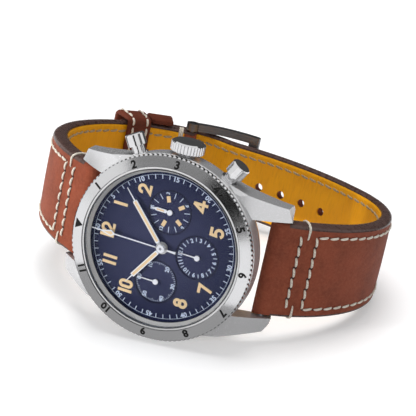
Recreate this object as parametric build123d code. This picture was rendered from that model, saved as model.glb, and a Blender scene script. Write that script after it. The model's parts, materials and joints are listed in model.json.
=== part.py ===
from build123d import *
import math
import os

# Sizes are in millimetres and degrees. Seen from the front, x runs to 6 o'clock, y to the crown
# at 3 o'clock and z out of the dial, whose face is z = 0. Heights below the dial are negative.

# Fits
running = 0.05
pressed = 0.02
lever_gap = 0.2
leather_gap = 0.3
overrun = 3.0

# Case middle and lugs
case_r = 20.5
case_top_z = 0.35
case_bevel = 0.3
flank_low_z = -3.0
flank_mid_r = 20.0
flank_mid_z = -5.4
back_r = 18.4
case_back_z = -7.2
collar_r = 17.85
collar_bore_r = 17.45
collar_top_z = 1.9
cavity_r = 16.6
back_bore_r = 17.1
back_bore_depth = 1.1
lug_gap = 22.1
lug_tip_x = 24.6
lug_tip_z = -8.1
lug_tip_depth = 2.9
lug_tip_width = 3.05
lug_tip_slant = 1.15
lug_root_x = 14.0
lug_root_z = -0.5
lug_bow = 0.55
lug_under_x = 13.5
lug_under_z = -6.4
lug_outer_x = 10.6
lug_outer_y = 17.5
lug_crease = 0.85
bar_x = 22.0
bar_z = -9.2
bar_r = 0.85
bar_tip_r = 0.45
bar_tip_length = 0.9

# Caseback and its gasket
back_neck_wall = 1.3
back_flange_r = 18.3
back_flange_t = 1.2
back_foot_r = 16.4
back_thickness = 3.0
back_pocket_depth = 0.4
back_notches = 6
notch_width = 3.0
notch_depth = 0.8
back_gasket_r = 17.65
back_gasket_width = 0.45
back_gasket_t = 0.4

# Bezel and its spring
bezel_r = 20.55
bezel_bead_depth = 0.27
bezel_beads = 120
bezel_knurl_top_z = 1.42
bezel_edge_z = 1.51
bezel_edge_r = 20.28
bezel_lip_r = 18.0
bezel_lip_z = 2.11
bezel_groove_in_r = 18.4
bezel_groove_out_r = 19.7
bezel_groove_depth = 0.6
bezel_spring_r = 19.1
bezel_spring_width = 0.6
bezel_spring_t = 0.35

# Crystal, its gasket, the flange ring and the dial
crystal_r = 17.25
crystal_edge_t = 0.75
crystal_rise = 1.25
crystal_hollow = 0.95
crystal_seat_width = 0.35
flange_in_r = 16.55
flange_wall_z = 0.55
flange_top_z = 1.4
flange_top_r = 17.15
dial_t = 0.4
dial_hole_r = 1.05
counter_r = 4.75
counter_depth = 0.12
counter_step = 0.35
counter_arbor_place = 7.95
counter_hole_r = 0.3

# Numerals on the dial
numeral_ring_r = 12.8
numeral_height = 3.5
numeral_width = 2.1
numeral_stroke = 0.75
numeral_t = 0.12
bowl_share = 1.05
hook_share = 0.72
pair_share = 0.62
eleven_share = 0.55
lume_block_length = 1.35
lume_block_width = 0.8
lume_block_ring_r = 3.0

# Hands
hand_t = 0.16
hour_hand_z = 0.55
minute_hand_z = 0.88
chrono_hand_z = 1.22
small_hand_z = 0.12
bar_hand_start = 1.7
hour_bar_end = 9.55
hour_tip = 11.6
minute_bar_end = 11.6
minute_tip = 14.8
hand_bar_width = 1.0
hand_needle_width = 0.26
hand_rim = 0.2
lume_t = 0.06
chrono_tip = 16.2
chrono_tail = 3.4
chrono_needle_width = 0.24
chrono_tail_width = 0.5
chrono_diamond_place = 12.4
chrono_diamond_length = 3.1
chrono_diamond_width = 1.4
chrono_diamond_wide_share = 0.25
hour_hub_r = 1.35
minute_hub_r = 1.15
chrono_hub_r = 0.85
chrono_hub_t = 0.4
small_hub_r = 0.6
small_hub_t = 0.28
small_hand_length = 4.3
small_hand_width = 0.3
leaf_width = 0.75
leaf_length = 3.1
leaf_start = 0.7
time_hour = 10.13

# Centre pipes and motion work
hour_pipe_r = 0.95
minute_pipe_r = 0.62
chrono_arbor_r = 0.32
hour_wheel_z = -0.75
motion_wheel_t = 0.2
minute_wheel_z = -1.2
cannon_top_z = -0.85
cannon_teeth = 12
minute_wheel_teeth = 36
minute_pinion_teeth = 10
hour_wheel_teeth = 40
motion_module = 0.1
motion_angle = 35.0

# Teeth, as shares of the module and of the step from tooth to tooth
tooth_reach_share = 0.68
tooth_tip_share = 0.11
tooth_root_share = 0.28

# Movement plates
plate_r = 14.6
plate_rim_in_r = 13.2
plate_top_z = -1.3
plate_low_z = -2.6
holder_low_z = -7.56
holder_r = 16.55
bridge_top_z = -5.3
bridge_low_z = -5.9
bridge_r = 14.3
chrono_bridge_top_z = -6.7
chrono_bridge_low_z = -7.2
chrono_bridge_arm_r = 1.5
pillar_r = 0.9
pillar_ring_r = 13.05
pillar_angles = (0.0, 75.0, 105.0, -65.0, -167.0)
chrono_feet_angles = (45.0, 107.6, -61.4)
chrono_feet_rings = (9.05, 11.4, 6.26)
screw_head_r = 0.6
screw_head_t = 0.25
screw_shank_r = 0.3
screw_length = 0.9
screw_slot = 0.16
pivot_r = 0.16

# Going train
barrel_place = (-6.6, 2.01)
barrel_teeth = 80
barrel_module = 0.15
barrel_tooth_top_z = -2.8
barrel_tooth_t = 0.4
barrel_drum_r = 5.5
barrel_low_z = -4.6
barrel_wall = 0.35
barrel_arbor_r = 0.6
centre_pinion_teeth = 12
centre_pipe_r = 0.6
centre_wheel_teeth = 80
train_module = 0.1
wheel_t = 0.2
centre_wheel_z = -5.1
third_pinion_teeth = 10
third_wheel_teeth = 75
third_wheel_z = -3.9
fourth_pinion_teeth = 10
fourth_wheel_teeth = 80
fourth_wheel_z = -4.5
fine_module = 0.08
escape_pinion_teeth = 8
escape_teeth = 15
escape_r = 2.1
escape_wheel_z = -3.2
escape_angle = 222.0
escape_root_share = 0.72
escape_hook_share = 0.28
escape_back_share = 0.8
pinion_t = 0.3
wheel_rim = 0.45
wheel_spokes = 4
spoke_width = 0.4
ratchet_teeth = 40
ratchet_r = 2.25
ratchet_z = -6.25
ratchet_t = 0.28

# Balance and pallet
balance_place = (-8.2, -6.6)
balance_r = 3.6
balance_rim = 0.5
balance_z = -5.8
balance_t = 0.3
balance_pocket = 0.18
staff_r = 0.18
staff_low_z = -6.5
roller_r = 0.75
roller_t = 0.2
hairspring_in_r = 0.5
hairspring_out_r = 2.5
hairspring_turns = 9
hairspring_steps = 8
hairspring_wire = 0.06
hairspring_t = 0.15
hairspring_z = -6.3
cock_top_z = -6.5
cock_low_z = -7.1
cock_width = 2.6
cock_foot_angle = 186.0
cock_foot_ring_r = 12.7
pallet_place_share = 0.373
pallet_span = 1.35
pallet_spread = 100.0
pallet_arm_width = 0.35
pallet_fork_length = 2.9
pallet_t = 0.18
pallet_z = -3.22

# Chronograph work
chrono_module = 0.14
chrono_pinion_teeth = 12
idler_wheel_teeth = 60
idler_pinion_teeth = 12
counter_wheel_teeth = 36
chrono_wheel_r = 4.0
chrono_wheel_teeth = 100
hour_counter_wheel_r = 2.6
hour_counter_teeth = 52
idler_wheel_z = -6.5
chrono_wheel_z = -6.22
column_place = (-4.0, 8.9)
column_r = 1.0
column_ratchet_t = 0.3
column_count = 6
column_low_z = -4.6
column_top_z = -2.75
column_stub_r = 0.45
column_ring_share = 0.8
column_slot_share = 0.3

# Levers
lever_pivot = (-11.3, 7.5)
lever_nose = (-6.1, 9.8)
lever_top_z = -3.0
lever_t = 0.6
lever_width = 0.9
lever_arm_width = 0.7
lever_boss_r = 0.8
lever_stud_r = 0.4
lever_pad_ring_r = 13.85

# Crown, stem and pushers
stem_z = -3.0
crown_r = 3.75
crown_flute = 0.28
crown_flutes = 30
crown_base = 21.0
crown_rim = 23.3
crown_cap_rise = 0.3
crown_cap_r = 3.2
crown_bevel = 0.35
crown_hollow_r = 2.1
crown_hollow_depth = 1.2
crown_travel = 1.0
crown_tube_r = 1.6
crown_tube_end = 21.6
stem_r = 0.6
stem_in = 9.2
stem_screw = 0.7
stem_groove_place = 13.2
stem_groove_width = 0.35
stem_groove_r = 0.4
winding_pinion_r = 1.1
winding_pinion_place = 10.4
winding_pinion_length = 1.8
winding_pinion_teeth = 14
setting_fork_t = 0.25
setting_fork_width = 2.4
setting_fork_low_z = -4.4
pusher_cap_r = 2.1
pusher_cap_start = 22.25
pusher_cap_end = 24.85
pusher_cap_bevel = 0.2
pusher_stem_r = 1.45
pusher_stem_start = 19.3
pusher_rod_r = 0.5
pusher_rod_start = 14.05
pusher_travel = 0.9
pusher_tube_r = 1.9
pusher_tube_start = 17.4
pusher_tube_end = 20.75
pusher_tube_floor = 0.3
spring_coil_r = 1.0
spring_wire_r = 0.12
spring_pitch = 0.27
spring_turns = 1.5
upper_pusher_angle = 120.0
lower_pusher_angle = 60.0

# Strap: each path starts at a spring bar and runs as tangent arcs of a radius and a turn
strap_width = 21.8
strap_end_width = 18.0
strap_t = 4.4
strap_thin_t = 2.2
strap_taper_length = 55.0
lining_t = 0.8
lining_start = 3.4
short_heading = -152.8
short_arcs = ((36.0, 30.7), (24.9, 41.7), (28.8, 65.6))
long_heading = -28.0
long_arcs = ((33.7, 31.5), (24.7, 46.9), (22.1, 38.0))
long_flat_r = 58.2
dip_r = 12.0
bend_r = 16.0
tail_length = 22.0
tail_round = 6.0
strap_station = 5.0
hole_r = 1.0
hole_spacing = 6.2
hole_count = 7
tongue_hole_back = 2.3
tongue_hole_length = 4.6
strap_eye_r = 1.35
slot_width = 2.0
slot_length = 3.0

# Search for the resting lean: the widest roll tried, and how often it is halved
roll_limit = 30.0
halvings = 50

# Keepers
keeper_t = 1.2
keeper_width = 6.5
fixed_keeper_width = 5.6
fixed_keeper_back = 5.0
keeper_spacing = 0.5
keeper_clearance = 0.35
keeper_travel = 8.0

# Buckle
buckle_bar_r = 0.75
bar_tip_depth = 0.6
buckle_boss_r = 1.55
frame_arm_width = 1.8
frame_t = 1.7
frame_end_width = 2.6
frame_reach = 15.9
frame_drop = 3.65
frame_bow = 1.5
frame_lift = 5.0
tongue_width = 1.5
tongue_t = 1.0
tongue_ring_r = 1.35
tongue_overhang = 0.5
tongue_gap = 0.15
tongue_lift = 6.0


def rod(radius, low_z, high_z, place=(0, 0)):
    """A round bar along z between two heights."""
    bar = Cylinder(radius, high_z - low_z, align=(Align.CENTER, Align.CENTER, Align.MIN))
    return Pos(place[0], place[1], low_z) * bar


def ring(outer_r, inner_r, low_z, high_z, place=(0, 0)):
    """A flat ring along z between two heights."""
    return rod(outer_r, low_z, high_z, place) - rod(inner_r, low_z - overrun, high_z + overrun, place)


def turned(outline):
    """A solid turned about the dial axis from edges or points of radius and height."""
    edges = outline if isinstance(outline[0], Edge) else Polyline(*outline, close=True).edges()
    return revolve(Plane.XZ * make_face(edges), Axis.Z)


def plate(points, low_z, high_z):
    """A flat plate with a straight-sided outline."""
    face = make_face(Polyline(*points, close=True))
    return Pos(0, 0, low_z) * extrude(face, high_z - low_z)


def dome(radius, edge_z, rise):
    """The arc from a dome's top on the axis down to its edge."""
    ball_r = (radius ** 2 + rise ** 2) / (2 * rise)
    half_z = edge_z + rise - ball_r + math.sqrt(ball_r ** 2 - (radius / 2) ** 2)
    return ThreePointArc((0, edge_z + rise), (radius / 2, half_z), (radius, edge_z))


def link(start, end, radius, low_z, high_z):
    """A flat bar with round ends from one place to another."""
    length = math.dist(start, end)
    angle = math.degrees(math.atan2(end[1] - start[1], end[0] - start[0]))
    face = Pos(*start) * Rot(0, 0, angle) * Pos(length / 2, 0) * SlotCenterToCenter(length, 2 * radius)
    return Pos(0, 0, low_z) * extrude(face, high_z - low_z)


def polar(radius, angle):
    """A place at a radius and an angle about the dial axis."""
    return (radius * math.cos(math.radians(angle)), radius * math.sin(math.radians(angle)))


def bearing(start, end):
    """The angle of the line from one place to another."""
    return math.degrees(math.atan2(end[1] - start[1], end[0] - start[0]))


def shifted(place, radius, angle):
    """A place at a distance and an angle from another place."""
    step = polar(radius, angle)
    return (place[0] + step[0], place[1] + step[1])


def meet(first, first_r, second, second_r):
    """Where circles about two places cross, on the right of the line from the first to the second."""
    gap = math.dist(first, second)
    along = (first_r ** 2 - second_r ** 2 + gap ** 2) / (2 * gap)
    aside = math.degrees(math.acos(along / first_r))
    return shifted(first, first_r, bearing(first, second) + aside)


def radial(shape, angle):
    """Lay a shape built along z so that it points out from the dial axis at the stem's height."""
    return Pos(0, 0, stem_z) * Rot(0, 0, angle) * Rot(0, 90, 0) * shape


def toothed(teeth, module, low_z, high_z, place=(0, 0), tooth_angle=0.0):
    """A gear blank with one tooth centred on an angle."""
    pitch_r = teeth * module / 2
    root_r = pitch_r - module
    tip_r = pitch_r + tooth_reach_share * module
    step = 360 / teeth
    points = []
    for tooth in range(teeth):
        middle = tooth_angle + tooth * step
        for radius, share in ((root_r, -tooth_root_share), (tip_r, -tooth_tip_share),
                              (tip_r, tooth_tip_share), (root_r, tooth_root_share)):
            points.append(shifted(place, radius, middle + share * step))
    return plate(points, low_z, high_z)


def spoked(teeth, module, low_z, high_z, place, tooth_angle, hub_r):
    """A gear wheel with a rim, spokes and a hub."""
    rim_in_r = teeth * module / 2 - module - wheel_rim
    wheel = toothed(teeth, module, low_z, high_z, place, tooth_angle)
    wheel -= ring(rim_in_r, hub_r, low_z - overrun, high_z + overrun, place)
    for spoke in range(wheel_spokes):
        end = shifted(place, rim_in_r + wheel_rim / 2, spoke * 360 / wheel_spokes)
        start = shifted(place, hub_r / 2, spoke * 360 / wheel_spokes)
        wheel += link(start, end, spoke_width / 2, low_z, high_z)
    return wheel


def beaded(outer_r, depth, count, low_z, high_z):
    """A disc whose edge is a row of round beads."""
    beads = []
    step = 360 / count
    for bead in range(count):
        middle = bead * step
        beads.append(ThreePointArc(polar(outer_r - depth, middle - step / 2), polar(outer_r, middle),
                                   polar(outer_r - depth, middle + step / 2)))
    return Pos(0, 0, low_z) * extrude(make_face(beads), high_z - low_z)


# Case

def lug():
    """One lug: its side view crossed with its plan, with a bevelled outer edge."""
    root = (lug_root_x, lug_root_z)
    tip = (lug_tip_x, lug_tip_z)
    low = (lug_tip_x - lug_crease, lug_tip_z - lug_tip_depth)
    under = (lug_under_x, lug_under_z)
    slope = math.radians(bearing(root, tip))
    top_middle = ((root[0] + tip[0]) / 2 - lug_bow * math.sin(slope),
                  (root[1] + tip[1]) / 2 + lug_bow * math.cos(slope))
    low_middle = ((low[0] + under[0]) / 2, (low[1] + under[1]) / 2 + lug_bow)
    inside = (lug_outer_x, lug_root_z)
    inside_low = (lug_outer_x, lug_under_z)
    side = [Line(inside, root), ThreePointArc(root, top_middle, tip), Line(tip, low),
            ThreePointArc(low, low_middle, under), Line(under, inside_low), Line(inside_low, inside)]
    block = extrude(Plane.XZ * make_face(side), -case_r)
    inner_y = lug_gap / 2
    plan = [(lug_outer_x, inner_y), (lug_tip_x, inner_y),
            (lug_tip_x - lug_tip_slant, inner_y + lug_tip_width), (lug_outer_x, lug_outer_y)]
    piece = block & plate(plan, lug_tip_z - lug_tip_depth - overrun, collar_top_z)
    crease = max(piece.edges(), key=lambda edge: edge.center().Z + edge.center().Y)
    return chamfer(crease, lug_crease)


def case_middle():
    """The steel body: flank, collar for the crystal, movement chamber and four lugs."""
    seat_z = -dial_t
    top_r = case_r - case_bevel
    outline = [
        Line((cavity_r, seat_z), (collar_bore_r, seat_z)),
        Line((collar_bore_r, seat_z), (collar_bore_r, collar_top_z)),
        Line((collar_bore_r, collar_top_z), (collar_r, collar_top_z)),
        Line((collar_r, collar_top_z), (collar_r, case_top_z)),
        Line((collar_r, case_top_z), (top_r, case_top_z)),
        Line((top_r, case_top_z), (case_r, case_top_z - case_bevel)),
        Line((case_r, case_top_z - case_bevel), (case_r, flank_low_z)),
        ThreePointArc((case_r, flank_low_z), (flank_mid_r, flank_mid_z), (back_r, case_back_z)),
        Line((back_r, case_back_z), (back_bore_r, case_back_z)),
        Line((back_bore_r, case_back_z), (back_bore_r, case_back_z + back_bore_depth)),
        Line((back_bore_r, case_back_z + back_bore_depth), (cavity_r, case_back_z + back_bore_depth)),
        Line((cavity_r, case_back_z + back_bore_depth), (cavity_r, seat_z)),
    ]
    quarter = lug()
    half = quarter + mirror(quarter, Plane.XZ)
    lugs = half + mirror(half, Plane.YZ)
    lugs -= rod(case_r - case_bevel, case_back_z - overrun, collar_top_z)
    body = turned(outline) + lugs
    for side in (-1, 1):
        tip = Pos(side * bar_x, 0, bar_z) * Rot(90, 0, 0) * Cylinder(
            bar_tip_r + running, lug_gap + 2 * bar_tip_length + 2 * running)
        body -= tip
    body -= radial(rod(crown_tube_r + pressed, 0, crown_tube_end), 90)
    for angle in (upper_pusher_angle, lower_pusher_angle):
        body -= radial(rod(pusher_tube_r + pressed, 0, case_r + overrun), angle)
    return body


def caseback():
    """The screwed back with a threaded neck, a gasket groove and key notches."""
    neck_r = back_bore_r - pressed
    low_z = case_back_z - back_thickness
    body = turned([
        (0, case_back_z - back_pocket_depth), (neck_r - back_neck_wall, case_back_z - back_pocket_depth),
        (neck_r - back_neck_wall, case_back_z + back_bore_depth - back_gasket_t),
        (neck_r, case_back_z + back_bore_depth - back_gasket_t), (neck_r, case_back_z),
        (back_flange_r, case_back_z), (back_flange_r, case_back_z - back_flange_t),
        (back_foot_r, low_z), (0, low_z)])
    groove_in = back_gasket_r - back_gasket_width / 2 - pressed
    groove_out = back_gasket_r + back_gasket_width / 2 + pressed
    body -= ring(groove_out, groove_in, case_back_z - back_gasket_t, case_back_z + pressed)
    notch = Box(2 * notch_depth, notch_width, 2 * notch_depth)
    for count in range(back_notches):
        body -= Rot(0, 0, count * 360 / back_notches) * Pos(back_foot_r, 0, low_z) * notch
    return body


def spring_bars():
    """The two sprung bars that hold the strap between the lugs."""
    bars = []
    body_length = lug_gap - 2 * running
    for side in (-1, 1):
        bar = Cylinder(bar_r, body_length)
        bar += Cylinder(bar_tip_r, body_length + 2 * bar_tip_length)
        bars.append(Pos(side * bar_x, 0, bar_z) * Rot(90, 0, 0) * bar)
    return Compound(bars)


# Bezel and crystal

def bezel():
    """The turning bezel: sloped face, beaded edge and a groove underneath for its spring."""
    low_z = case_top_z + running
    blank = beaded(bezel_r, bezel_bead_depth, bezel_beads, low_z, bezel_lip_z + overrun)
    bevel = bezel_r - bezel_edge_r
    shape = turned([
        (collar_r + running, low_z), (bezel_r - bezel_bead_depth, low_z), (bezel_r, low_z + bevel),
        (bezel_r, bezel_knurl_top_z - bevel / 2), (bezel_edge_r, bezel_edge_z),
        (bezel_lip_r, bezel_lip_z), (collar_r + running, collar_top_z)])
    body = blank & shape
    return body - ring(bezel_groove_out_r, bezel_groove_in_r, low_z - overrun, low_z + bezel_groove_depth)


def bezel_spring():
    """The open spring ring that clicks and holds the bezel."""
    half = bezel_spring_width / 2
    low_z = case_top_z
    wire = ring(bezel_spring_r + half, bezel_spring_r - half, low_z, low_z + bezel_spring_t)
    gap = Pos(bezel_spring_r, 0, low_z) * Box(2 * bezel_spring_width, bezel_spring_width, 2 * bezel_spring_t)
    return wire - gap


def crystal():
    """The domed glass."""
    edge_z = flange_top_z + crystal_edge_t
    hollow_r = crystal_r - crystal_seat_width
    hollow_top = (0, flange_top_z + crystal_hollow)
    return turned([dome(crystal_r, edge_z, crystal_rise).edge(),
                   Line((crystal_r, edge_z), (crystal_r, flange_top_z)).edge(),
                   Line((crystal_r, flange_top_z), (hollow_r, flange_top_z)).edge(),
                   dome(hollow_r, flange_top_z, crystal_hollow).edge(),
                   Line(hollow_top, (0, edge_z + crystal_rise)).edge()])


def gaskets():
    """The ring pressed between glass and collar, and the ring between case and back."""
    edge_z = flange_top_z + crystal_edge_t
    glass_ring = ring(collar_bore_r - pressed, crystal_r + pressed, flange_top_z, edge_z)
    half = back_gasket_width / 2
    back_ring = ring(back_gasket_r + half, back_gasket_r - half, case_back_z - back_gasket_t, case_back_z)
    return Compound([glass_ring, back_ring])


def flange_ring():
    """The sloped ring between the dial and the glass."""
    outer = collar_bore_r - pressed
    return turned([(flange_in_r, 0), (outer, 0), (outer, flange_top_z), (flange_top_r, flange_top_z),
                   (flange_in_r, flange_wall_z)])


def counter_places():
    """The three counters: minutes at 3 o'clock, hours at 6 and running seconds at 9."""
    return [polar(counter_arbor_place, angle) for angle in (90, 0, -90)]


def dial():
    """The dial with three sunk counters and its four holes."""
    body = rod(collar_bore_r - running, -dial_t, 0)
    body -= rod(dial_hole_r, -dial_t - overrun, overrun)
    for place in counter_places():
        body -= rod(counter_r, -counter_depth, overrun, place)
        body += ring(counter_r - counter_step, counter_r - 2 * counter_step, -counter_depth,
                     -counter_depth / 2, place)
        body -= rod(counter_hole_r, -dial_t - overrun, overrun, place)
    return body


def stroke(points, width):
    """A line of even width with round corners, in the dial's plane."""
    face = None
    for start, end in zip(points, points[1:]):
        piece = Pos(*start) * Rot(0, 0, bearing(start, end)) * Pos(math.dist(start, end) / 2, 0)
        piece = piece * SlotCenterToCenter(math.dist(start, end), width)
        face = piece if face is None else face + piece
    return face


def arc_points(centre, radius, start, end, count=9):
    """Places along an arc, for a curved stroke."""
    return [shifted(centre, radius, start + (end - start) * step / (count - 1)) for step in range(count)]


def digit(sign):
    """One numeral, upright in x and y with its middle at the origin."""
    high = numeral_height / 2 - numeral_stroke / 2
    wide = numeral_width / 2 - numeral_stroke / 2
    bowl = wide * bowl_share
    if sign == "1":
        return stroke([(0, -high), (0, high)], numeral_stroke)
    if sign == "7":
        return stroke([(-wide, high), (wide, high), (-wide / 3, -high)], numeral_stroke)
    if sign == "4":
        return stroke([(wide, -high / 3), (-wide, -high / 3), (wide / 2, high), (wide / 2, -high)],
                      numeral_stroke)
    if sign == "0":
        return (stroke(arc_points((0, high - wide), wide, 0, 180), numeral_stroke)
                + stroke(arc_points((0, wide - high), wide, 180, 360), numeral_stroke)
                + stroke([(-wide, high - wide), (-wide, wide - high)], numeral_stroke)
                + stroke([(wide, high - wide), (wide, wide - high)], numeral_stroke))
    if sign == "8":
        small = (high - numeral_stroke / 6) / 2
        return (stroke(arc_points((0, high - small), small, 0, 360), numeral_stroke)
                + stroke(arc_points((0, bowl - high), bowl, 0, 360), numeral_stroke))
    if sign == "2":
        curl = arc_points((0, high - wide), wide, 160, -45)
        return stroke(curl + [(-wide, -high), (wide, -high)], numeral_stroke)
    curl = arc_points((0, bowl - high), bowl, 115, -150)
    return stroke([(wide, high), (-wide * hook_share, high), (-wide * hook_share, 0)] + curl, numeral_stroke)


def lume_numerals():
    """The raised luminous numerals, with the blocks of the minute counter."""
    pieces = []
    for hour in (1, 2, 4, 5, 7, 8, 10, 11, 12):
        signs = str(hour)
        spread = numeral_width * (eleven_share if signs[0] == signs[-1] else pair_share)
        face = None
        for index, sign in enumerate(signs):
            shape = Pos(spread * (2 * index - len(signs) + 1), 0) * digit(sign)
            face = shape if face is None else face + shape
        place = polar(numeral_ring_r, 180 - 30 * hour)
        pieces += extrude(Pos(*place) * Rot(0, 0, 90) * face, numeral_t).solids()
    floor_z = -counter_depth
    middle = counter_places()[0]
    for minutes in (3, 6, 9, 12):
        angle = 180 - minutes * 360 / 15
        block = Box(lume_block_length, lume_block_width, numeral_t)
        pieces.append(Pos(*shifted(middle, lume_block_ring_r, angle), floor_z + numeral_t / 2)
                      * Rot(0, 0, angle) * block)
    return Compound(pieces)


# Hands

def hour_angle(hours):
    """The direction of an hour on the dial."""
    return 180 - 30 * hours


def bar_hand(low_z, hub_r, pipe_r, bore_r, pipe_low_z, bar_end, tip, angle):
    """A hand with a framed bar, a needle tip and a pipe."""
    high_z = low_z + hand_t
    half = hand_bar_width / 2
    needle = hand_needle_width / 2
    points = [(bar_hand_start / 2, -half / 2), (bar_hand_start, -half), (bar_end, -half), (bar_end, -needle),
              (tip, -needle / 2), (tip, needle / 2), (bar_end, needle), (bar_end, half),
              (bar_hand_start, half), (bar_hand_start / 2, half / 2)]
    hand = plate(points, low_z, high_z)
    window = [(bar_hand_start, hand_rim - half), (bar_end - hand_rim, hand_rim - half),
              (bar_end - hand_rim, half - hand_rim), (bar_hand_start, half - hand_rim)]
    hand -= plate(window, low_z + lume_t, high_z + overrun)
    hand = Rot(0, 0, angle) * hand
    hand += rod(hub_r, low_z, high_z)
    if pipe_low_z < low_z:
        hand += rod(pipe_r, pipe_low_z, low_z)
    return hand - rod(bore_r, pipe_low_z - overrun, high_z + overrun)


def bar_lume(low_z, hub_r, bar_end, angle):
    """The luminous filling of a bar hand."""
    half = hand_bar_width / 2 - hand_rim
    start = max(bar_hand_start, hub_r + hand_rim)
    points = [(start, -half), (bar_end - hand_rim, -half), (bar_end - hand_rim, half), (start, half)]
    return Rot(0, 0, angle) * plate(points, low_z + lume_t, low_z + hand_t)


def hour_hand():
    return bar_hand(hour_hand_z, hour_hub_r, hour_pipe_r, minute_pipe_r + running,
                    hour_wheel_z + motion_wheel_t, hour_bar_end, hour_tip, hour_angle(time_hour))


def hour_lume():
    return bar_lume(hour_hand_z, hour_hub_r, hour_bar_end, hour_angle(time_hour))


def minute_angle():
    return hour_angle(12 * (time_hour - int(time_hour)))


def minute_hand():
    return bar_hand(minute_hand_z, minute_hub_r, minute_pipe_r, chrono_arbor_r + running,
                    minute_hand_z, minute_bar_end, minute_tip, minute_angle())


def minute_lume():
    return bar_lume(minute_hand_z, minute_hub_r, minute_bar_end, minute_angle())


def chrono_hand():
    """The centre chronograph hand with a long diamond near its tip and a short tail."""
    high_z = chrono_hand_z + hand_t
    half = chrono_needle_width / 2
    tail = chrono_tail_width / 2
    near = chrono_diamond_place - chrono_diamond_length / 2
    far = chrono_diamond_place + chrono_diamond_length / 2
    wide = chrono_diamond_width / 2
    mid = near + chrono_diamond_length * chrono_diamond_wide_share
    points = [(-chrono_tail, -tail), (-chrono_hub_r, -half), (near, -half), (mid, -wide), (far, -half),
              (chrono_tip, -half / 2), (chrono_tip, half / 2), (far, half), (mid, wide), (near, half),
              (-chrono_hub_r, half), (-chrono_tail, tail)]
    hand = Rot(0, 0, hour_angle(0)) * plate(points, chrono_hand_z, high_z)
    hand += rod(chrono_hub_r, chrono_hand_z, chrono_hand_z + chrono_hub_t)
    return hand - rod(chrono_arbor_r, chrono_hand_z - overrun, high_z)


def small_hand(place):
    """A thin hand of a counter, pointing to 12."""
    high_z = small_hand_z + hand_t
    half = small_hand_width / 2
    points = [(0, -half), (small_hand_length, -half / 2), (small_hand_length, half / 2), (0, half)]
    hand = Rot(0, 0, hour_angle(0)) * plate(points, small_hand_z, high_z)
    hand += rod(small_hub_r, small_hand_z, small_hand_z + small_hub_t)
    hand = Pos(*place, 0) * hand
    return hand - rod(pivot_r, small_hand_z - overrun, high_z, place)


def minute_counter_hand():
    """The leaf-shaped hand of the minute counter."""
    place = counter_places()[0]
    half = small_hand_width / 2
    wide = leaf_width / 2
    end = leaf_start + leaf_length
    points = [(0, -half), (leaf_start, -half), (leaf_start + half, -wide), (end - leaf_width, -wide),
              (end, -half / 2), (small_hand_length, 0), (end, half / 2), (end - leaf_width, wide),
              (leaf_start + half, wide), (leaf_start, half), (0, half)]
    leaf = Rot(0, 0, hour_angle(0)) * plate(points, small_hand_z, small_hand_z + hand_t)
    return small_hand(place) + (Pos(*place, 0) * leaf - rod(pivot_r, -overrun, overrun, place))


def hour_counter_hand():
    return small_hand(counter_places()[1])


def seconds_hand():
    return small_hand(counter_places()[2])


# Motion work

def minute_wheel_place():
    """The minute wheel's centre, where it meets the cannon pinion."""
    distance = (cannon_teeth + minute_wheel_teeth) * motion_module / 2
    return polar(distance, motion_angle)


def hour_module():
    """The module that lets the hour wheel share the minute wheel's centre distance."""
    distance = (cannon_teeth + minute_wheel_teeth) * motion_module / 2
    return 2 * distance / (minute_pinion_teeth + hour_wheel_teeth)


def hour_wheel():
    wheel = toothed(hour_wheel_teeth, hour_module(), hour_wheel_z, hour_wheel_z + motion_wheel_t,
                    tooth_angle=motion_angle)
    return wheel - rod(minute_pipe_r + running, hour_wheel_z - overrun, overrun)


def cannon_pinion():
    """The pipe that carries the minute hand, with its pinion."""
    pinion = toothed(cannon_teeth, motion_module, minute_wheel_z, cannon_top_z, tooth_angle=motion_angle)
    pinion += rod(minute_pipe_r, cannon_top_z, minute_hand_z)
    return pinion - rod(chrono_arbor_r + running, minute_wheel_z - overrun, minute_hand_z + overrun)


def minute_wheel():
    """The wheel and pinion between the minute pipe and the hour pipe."""
    place = minute_wheel_place()
    gap_angle = motion_angle + 180
    wheel = toothed(minute_wheel_teeth, motion_module, minute_wheel_z, minute_wheel_z + motion_wheel_t,
                    place, gap_angle + 180 / minute_wheel_teeth)
    wheel += toothed(minute_pinion_teeth, hour_module(), minute_wheel_z + motion_wheel_t,
                     hour_wheel_z + motion_wheel_t, place, gap_angle + 180 / minute_pinion_teeth)
    return wheel - rod(pivot_r + running, minute_wheel_z - overrun, overrun, place)


# Movement plates

def pillar_places():
    """Where the train bridge stands on the main plate."""
    return [polar(pillar_ring_r, angle) for angle in pillar_angles]


def chrono_feet():
    """Where the chronograph bridge stands on the train bridge."""
    return [polar(radius, angle) for radius, angle in zip(chrono_feet_rings, chrono_feet_angles)]


def mirrored(place):
    """The same place on the other side of the crown's line."""
    return (-place[0], place[1])


def movement_holder():
    """The ring that centres the movement in the case."""
    body = ring(holder_r, plate_r + pressed, holder_low_z, -dial_t - pressed)
    body -= ring(cavity_r + overrun, back_bore_r - 2 * back_neck_wall, holder_low_z - overrun,
                 case_back_z + back_bore_depth)
    body -= radial(rod(stem_r + running, 0, case_r), 90)
    for angle in (upper_pusher_angle, lower_pusher_angle):
        body -= radial(rod(pusher_rod_r + running, 0, case_r), angle)
    return body


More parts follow.
